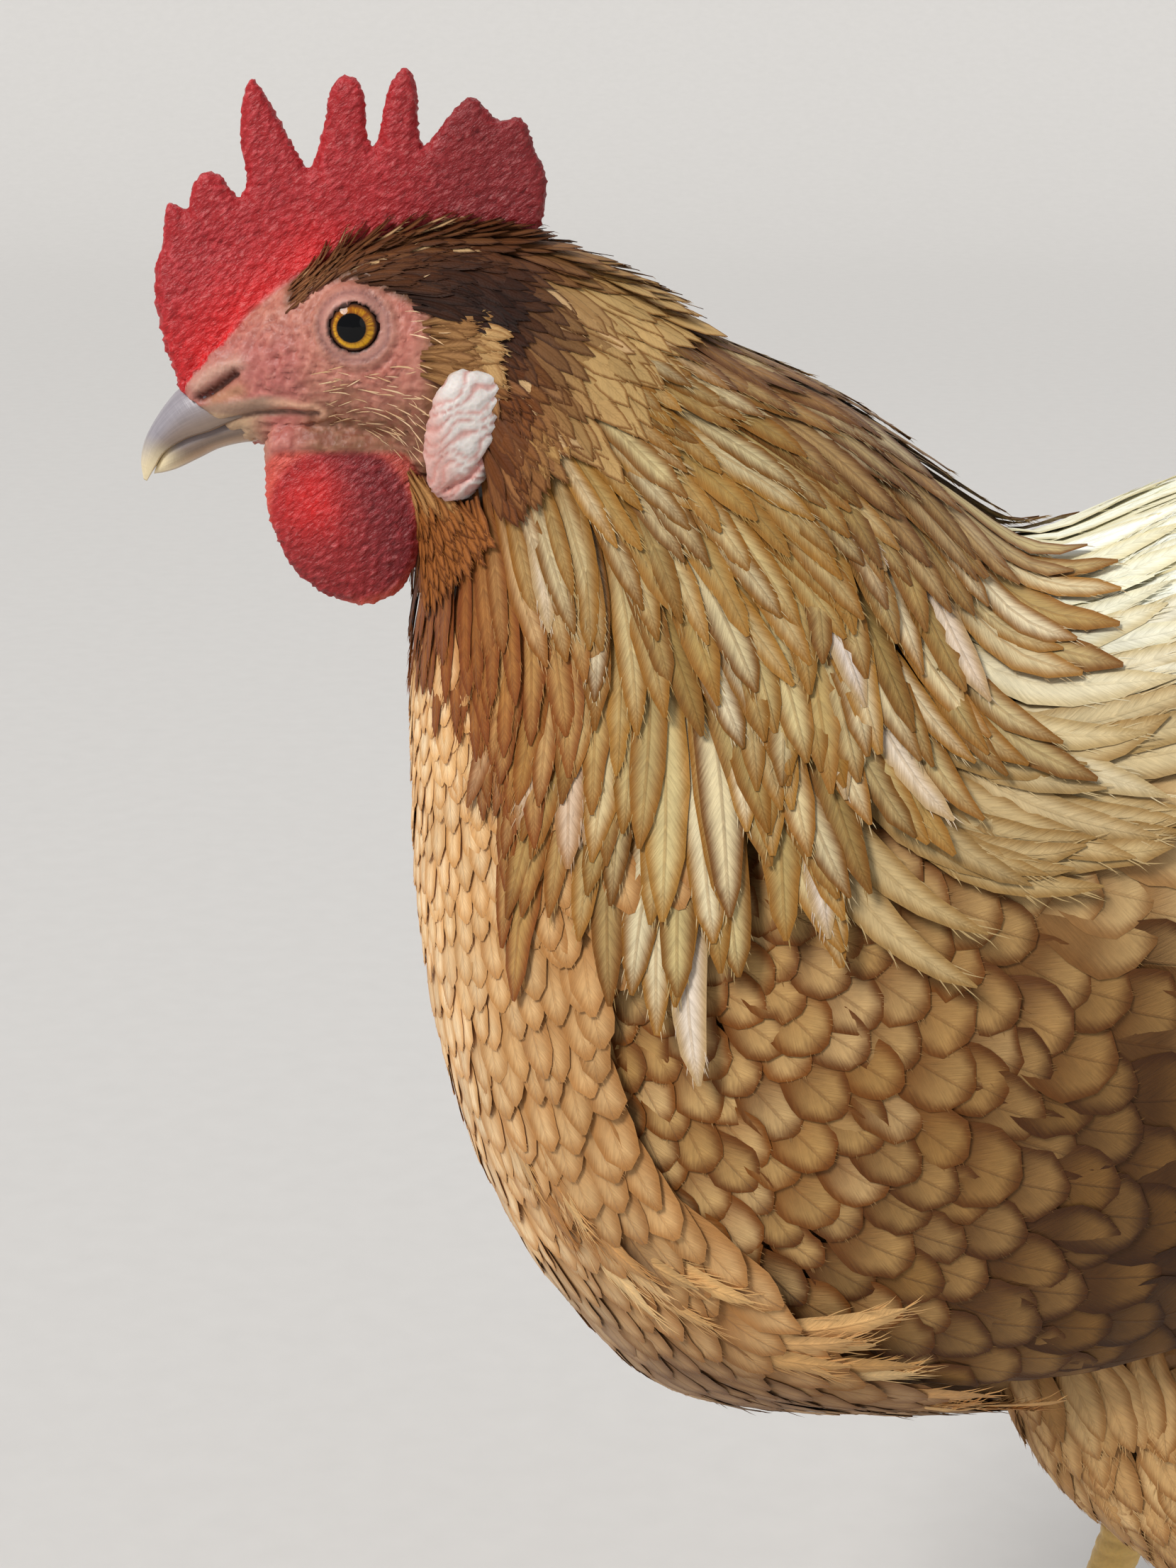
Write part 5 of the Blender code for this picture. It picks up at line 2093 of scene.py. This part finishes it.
@dataclass(frozen=True)
class Studio:
    """The pale floor, the soft lights and the camera."""

    target: tuple[float, float, float] = (-0.1219, 0.0, 0.2502)
    distance: float = 0.58
    pitch: float = 16.0  # degrees down
    lens: float = 70.0
    floor: tuple[Colour, Colour] = ((200, 198, 195), (206, 204, 201))
    lamps: tuple[Lamp, ...] = (
        Lamp("key", (-0.95, -0.75, 1.35), 22, 2.6, (1.0, 0.98, 0.95)),
        Lamp("fill", (0.9, -1.2, 0.6), 40, 0.2, (1.0, 0.97, 0.93)),
        Lamp("back", (0.15, 0.75, 1.2), 30, 0.9, (1.0, 0.99, 0.97)),
    )

    def build(self) -> None:
        """Places floor, camera, three large lights and an even sky."""
        self._lay_floor()
        camera = link("camera", bpy.data.cameras.new("camera"))
        camera.data.lens, camera.data.sensor_width = self.lens, 36.0
        camera.data.clip_start = 0.02
        tilt = math.radians(self.pitch)
        away = Vector((0, -math.cos(tilt), math.sin(tilt))) * self.distance
        camera.location = Vector(self.target) + away
        camera.rotation_euler = (math.radians(90 - self.pitch), 0, 0)
        scene = bpy.context.scene
        scene.camera = camera
        for lamp in self.lamps:
            light = bpy.data.lights.new(lamp.name, "SUN")
            light.angle, light.energy, light.color = math.radians(lamp.spread), lamp.power, lamp.colour
            stand = link(lamp.name, light)
            stand.location = lamp.place
            aim = Vector(self.target) - Vector(lamp.place)
            stand.rotation_euler = aim.to_track_quat("-Z", "Y").to_euler()
        scene.world = bpy.data.worlds.new("sky")
        scene.world.use_nodes = True
        sky = scene.world.node_tree.nodes["Background"]
        sky.inputs["Color"].default_value = (0.93, 0.95, 1.0, 1.0)
        sky.inputs["Strength"].default_value = 0.42
        scene.view_settings.view_transform = "Standard"

    def _lay_floor(self) -> None:
        """A sheet that runs flat under the hen, turns up behind it in a quarter round and rises."""
        made = Finish("studio_floor", Roughness=0.9)
        grain = made.noise(made.object_place(), 90.0, 3.0)
        turn = np.linspace(0, math.pi / 2, 24)
        run = np.concatenate([[-6], 3.0 + 2.0 * np.sin(turn), [5.0]])
        rise = np.concatenate([[0], 2.0 - 2.0 * np.cos(turn), [6]])
        sheet = [(x, y, z) for x in (-8, 8) for y, z in zip(run, rise)]
        mesh = bpy.data.meshes.new("studio_floor")
        mesh.from_pydata(sheet, [], grid_faces(2, len(run), closed=False)[:, ::-1].tolist())
        mesh.shade_smooth()
        mesh.materials.append(made.end(made.blend(self.floor[0], (self.floor[1], grain))))
        link("studio_floor", mesh)


def mount(piece: bpy.types.Object, slot: str, *nodes: str) -> None:
    """Sets a piece on the hen's only body, in the place of the model's nodes.

    Args:
        piece: the piece.
        slot: not used.
        *nodes: the nodes that it replaces.
    """
    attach(piece, "root")
    if nodes:
        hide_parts(*nodes)


def main() -> None:
    """Builds the studio and the hen, piece by piece."""
    Studio().build()
    hard = ("eye", "bill", "claw")
    soft = [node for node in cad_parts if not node.startswith(hard)]
    mount(Skin(Loft.body()).build(), "face_skin", *soft)
    horn, eye = horn_finish(), eye_finish()
    mount(Bill().upper(horn), "horn", "bill_upper")
    mount(Bill().lower(horn), "horn", "bill_lower")
    for name, side in SIDES.items():
        mount(eye_piece(f"eyeball_{name}", side, eye), "eye", f"eye_{name}")
        for toe_name, toe in TOES.items():
            claw = claw_piece(f"nail_{toe_name}_{name}", toe, side, horn)
            mount(claw, "horn", f"claw_{toe_name}_{name}")
    log.info("bill, eyes and claws")
    hackle = Plumage("hackle_feather", 1.0, 0.9, 0.36, 0.4, spangle=0.12).material()
    small = Plumage("head_feather", 0.3, 0.5, 0.2, 0.08, sheen=0.0).material()
    covert = Plumage("covert_feather", 1.15, 0.85, 0.3, 0.3, spangle=0.85).material()
    loose = Plumage("loose_feather", 0.8, 0.9, 0.34, 0.2).material()
    for name, side in SIDES.items():
        coat = Coat(side)
        for piece, tracts, finish, slot in (
            ("hackle", (coat.hackle,), hackle, "hackle"),
            ("head_coat", (coat.cap, coat.ear, coat.bristles), small, "hackle"),
            ("breast", (coat.breast,), covert, "buff"),
            ("wisps", (coat.wisps,), loose, "buff"),
            ("belly", (coat.belly,), loose, "buff"),
            ("saddle", (coat.saddle,), loose, "cream"),
            ("wing_coat", (coat.coverts, coat.flights, coat.underwing), covert, "buff"),
            ("thigh_coat", (coat.thigh,), loose, "buff"),
        ):
            made = join_tracts(f"{piece}_{name}", [tract() for tract in tracts], finish)
            mount(made, slot)
    mount(join_tracts("tail_coat", Tail().tracts(), loose), "cream")
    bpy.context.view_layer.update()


if __name__ == "__main__":
    logging.basicConfig(level=logging.INFO, format="%(name)s %(message)s")
    main()
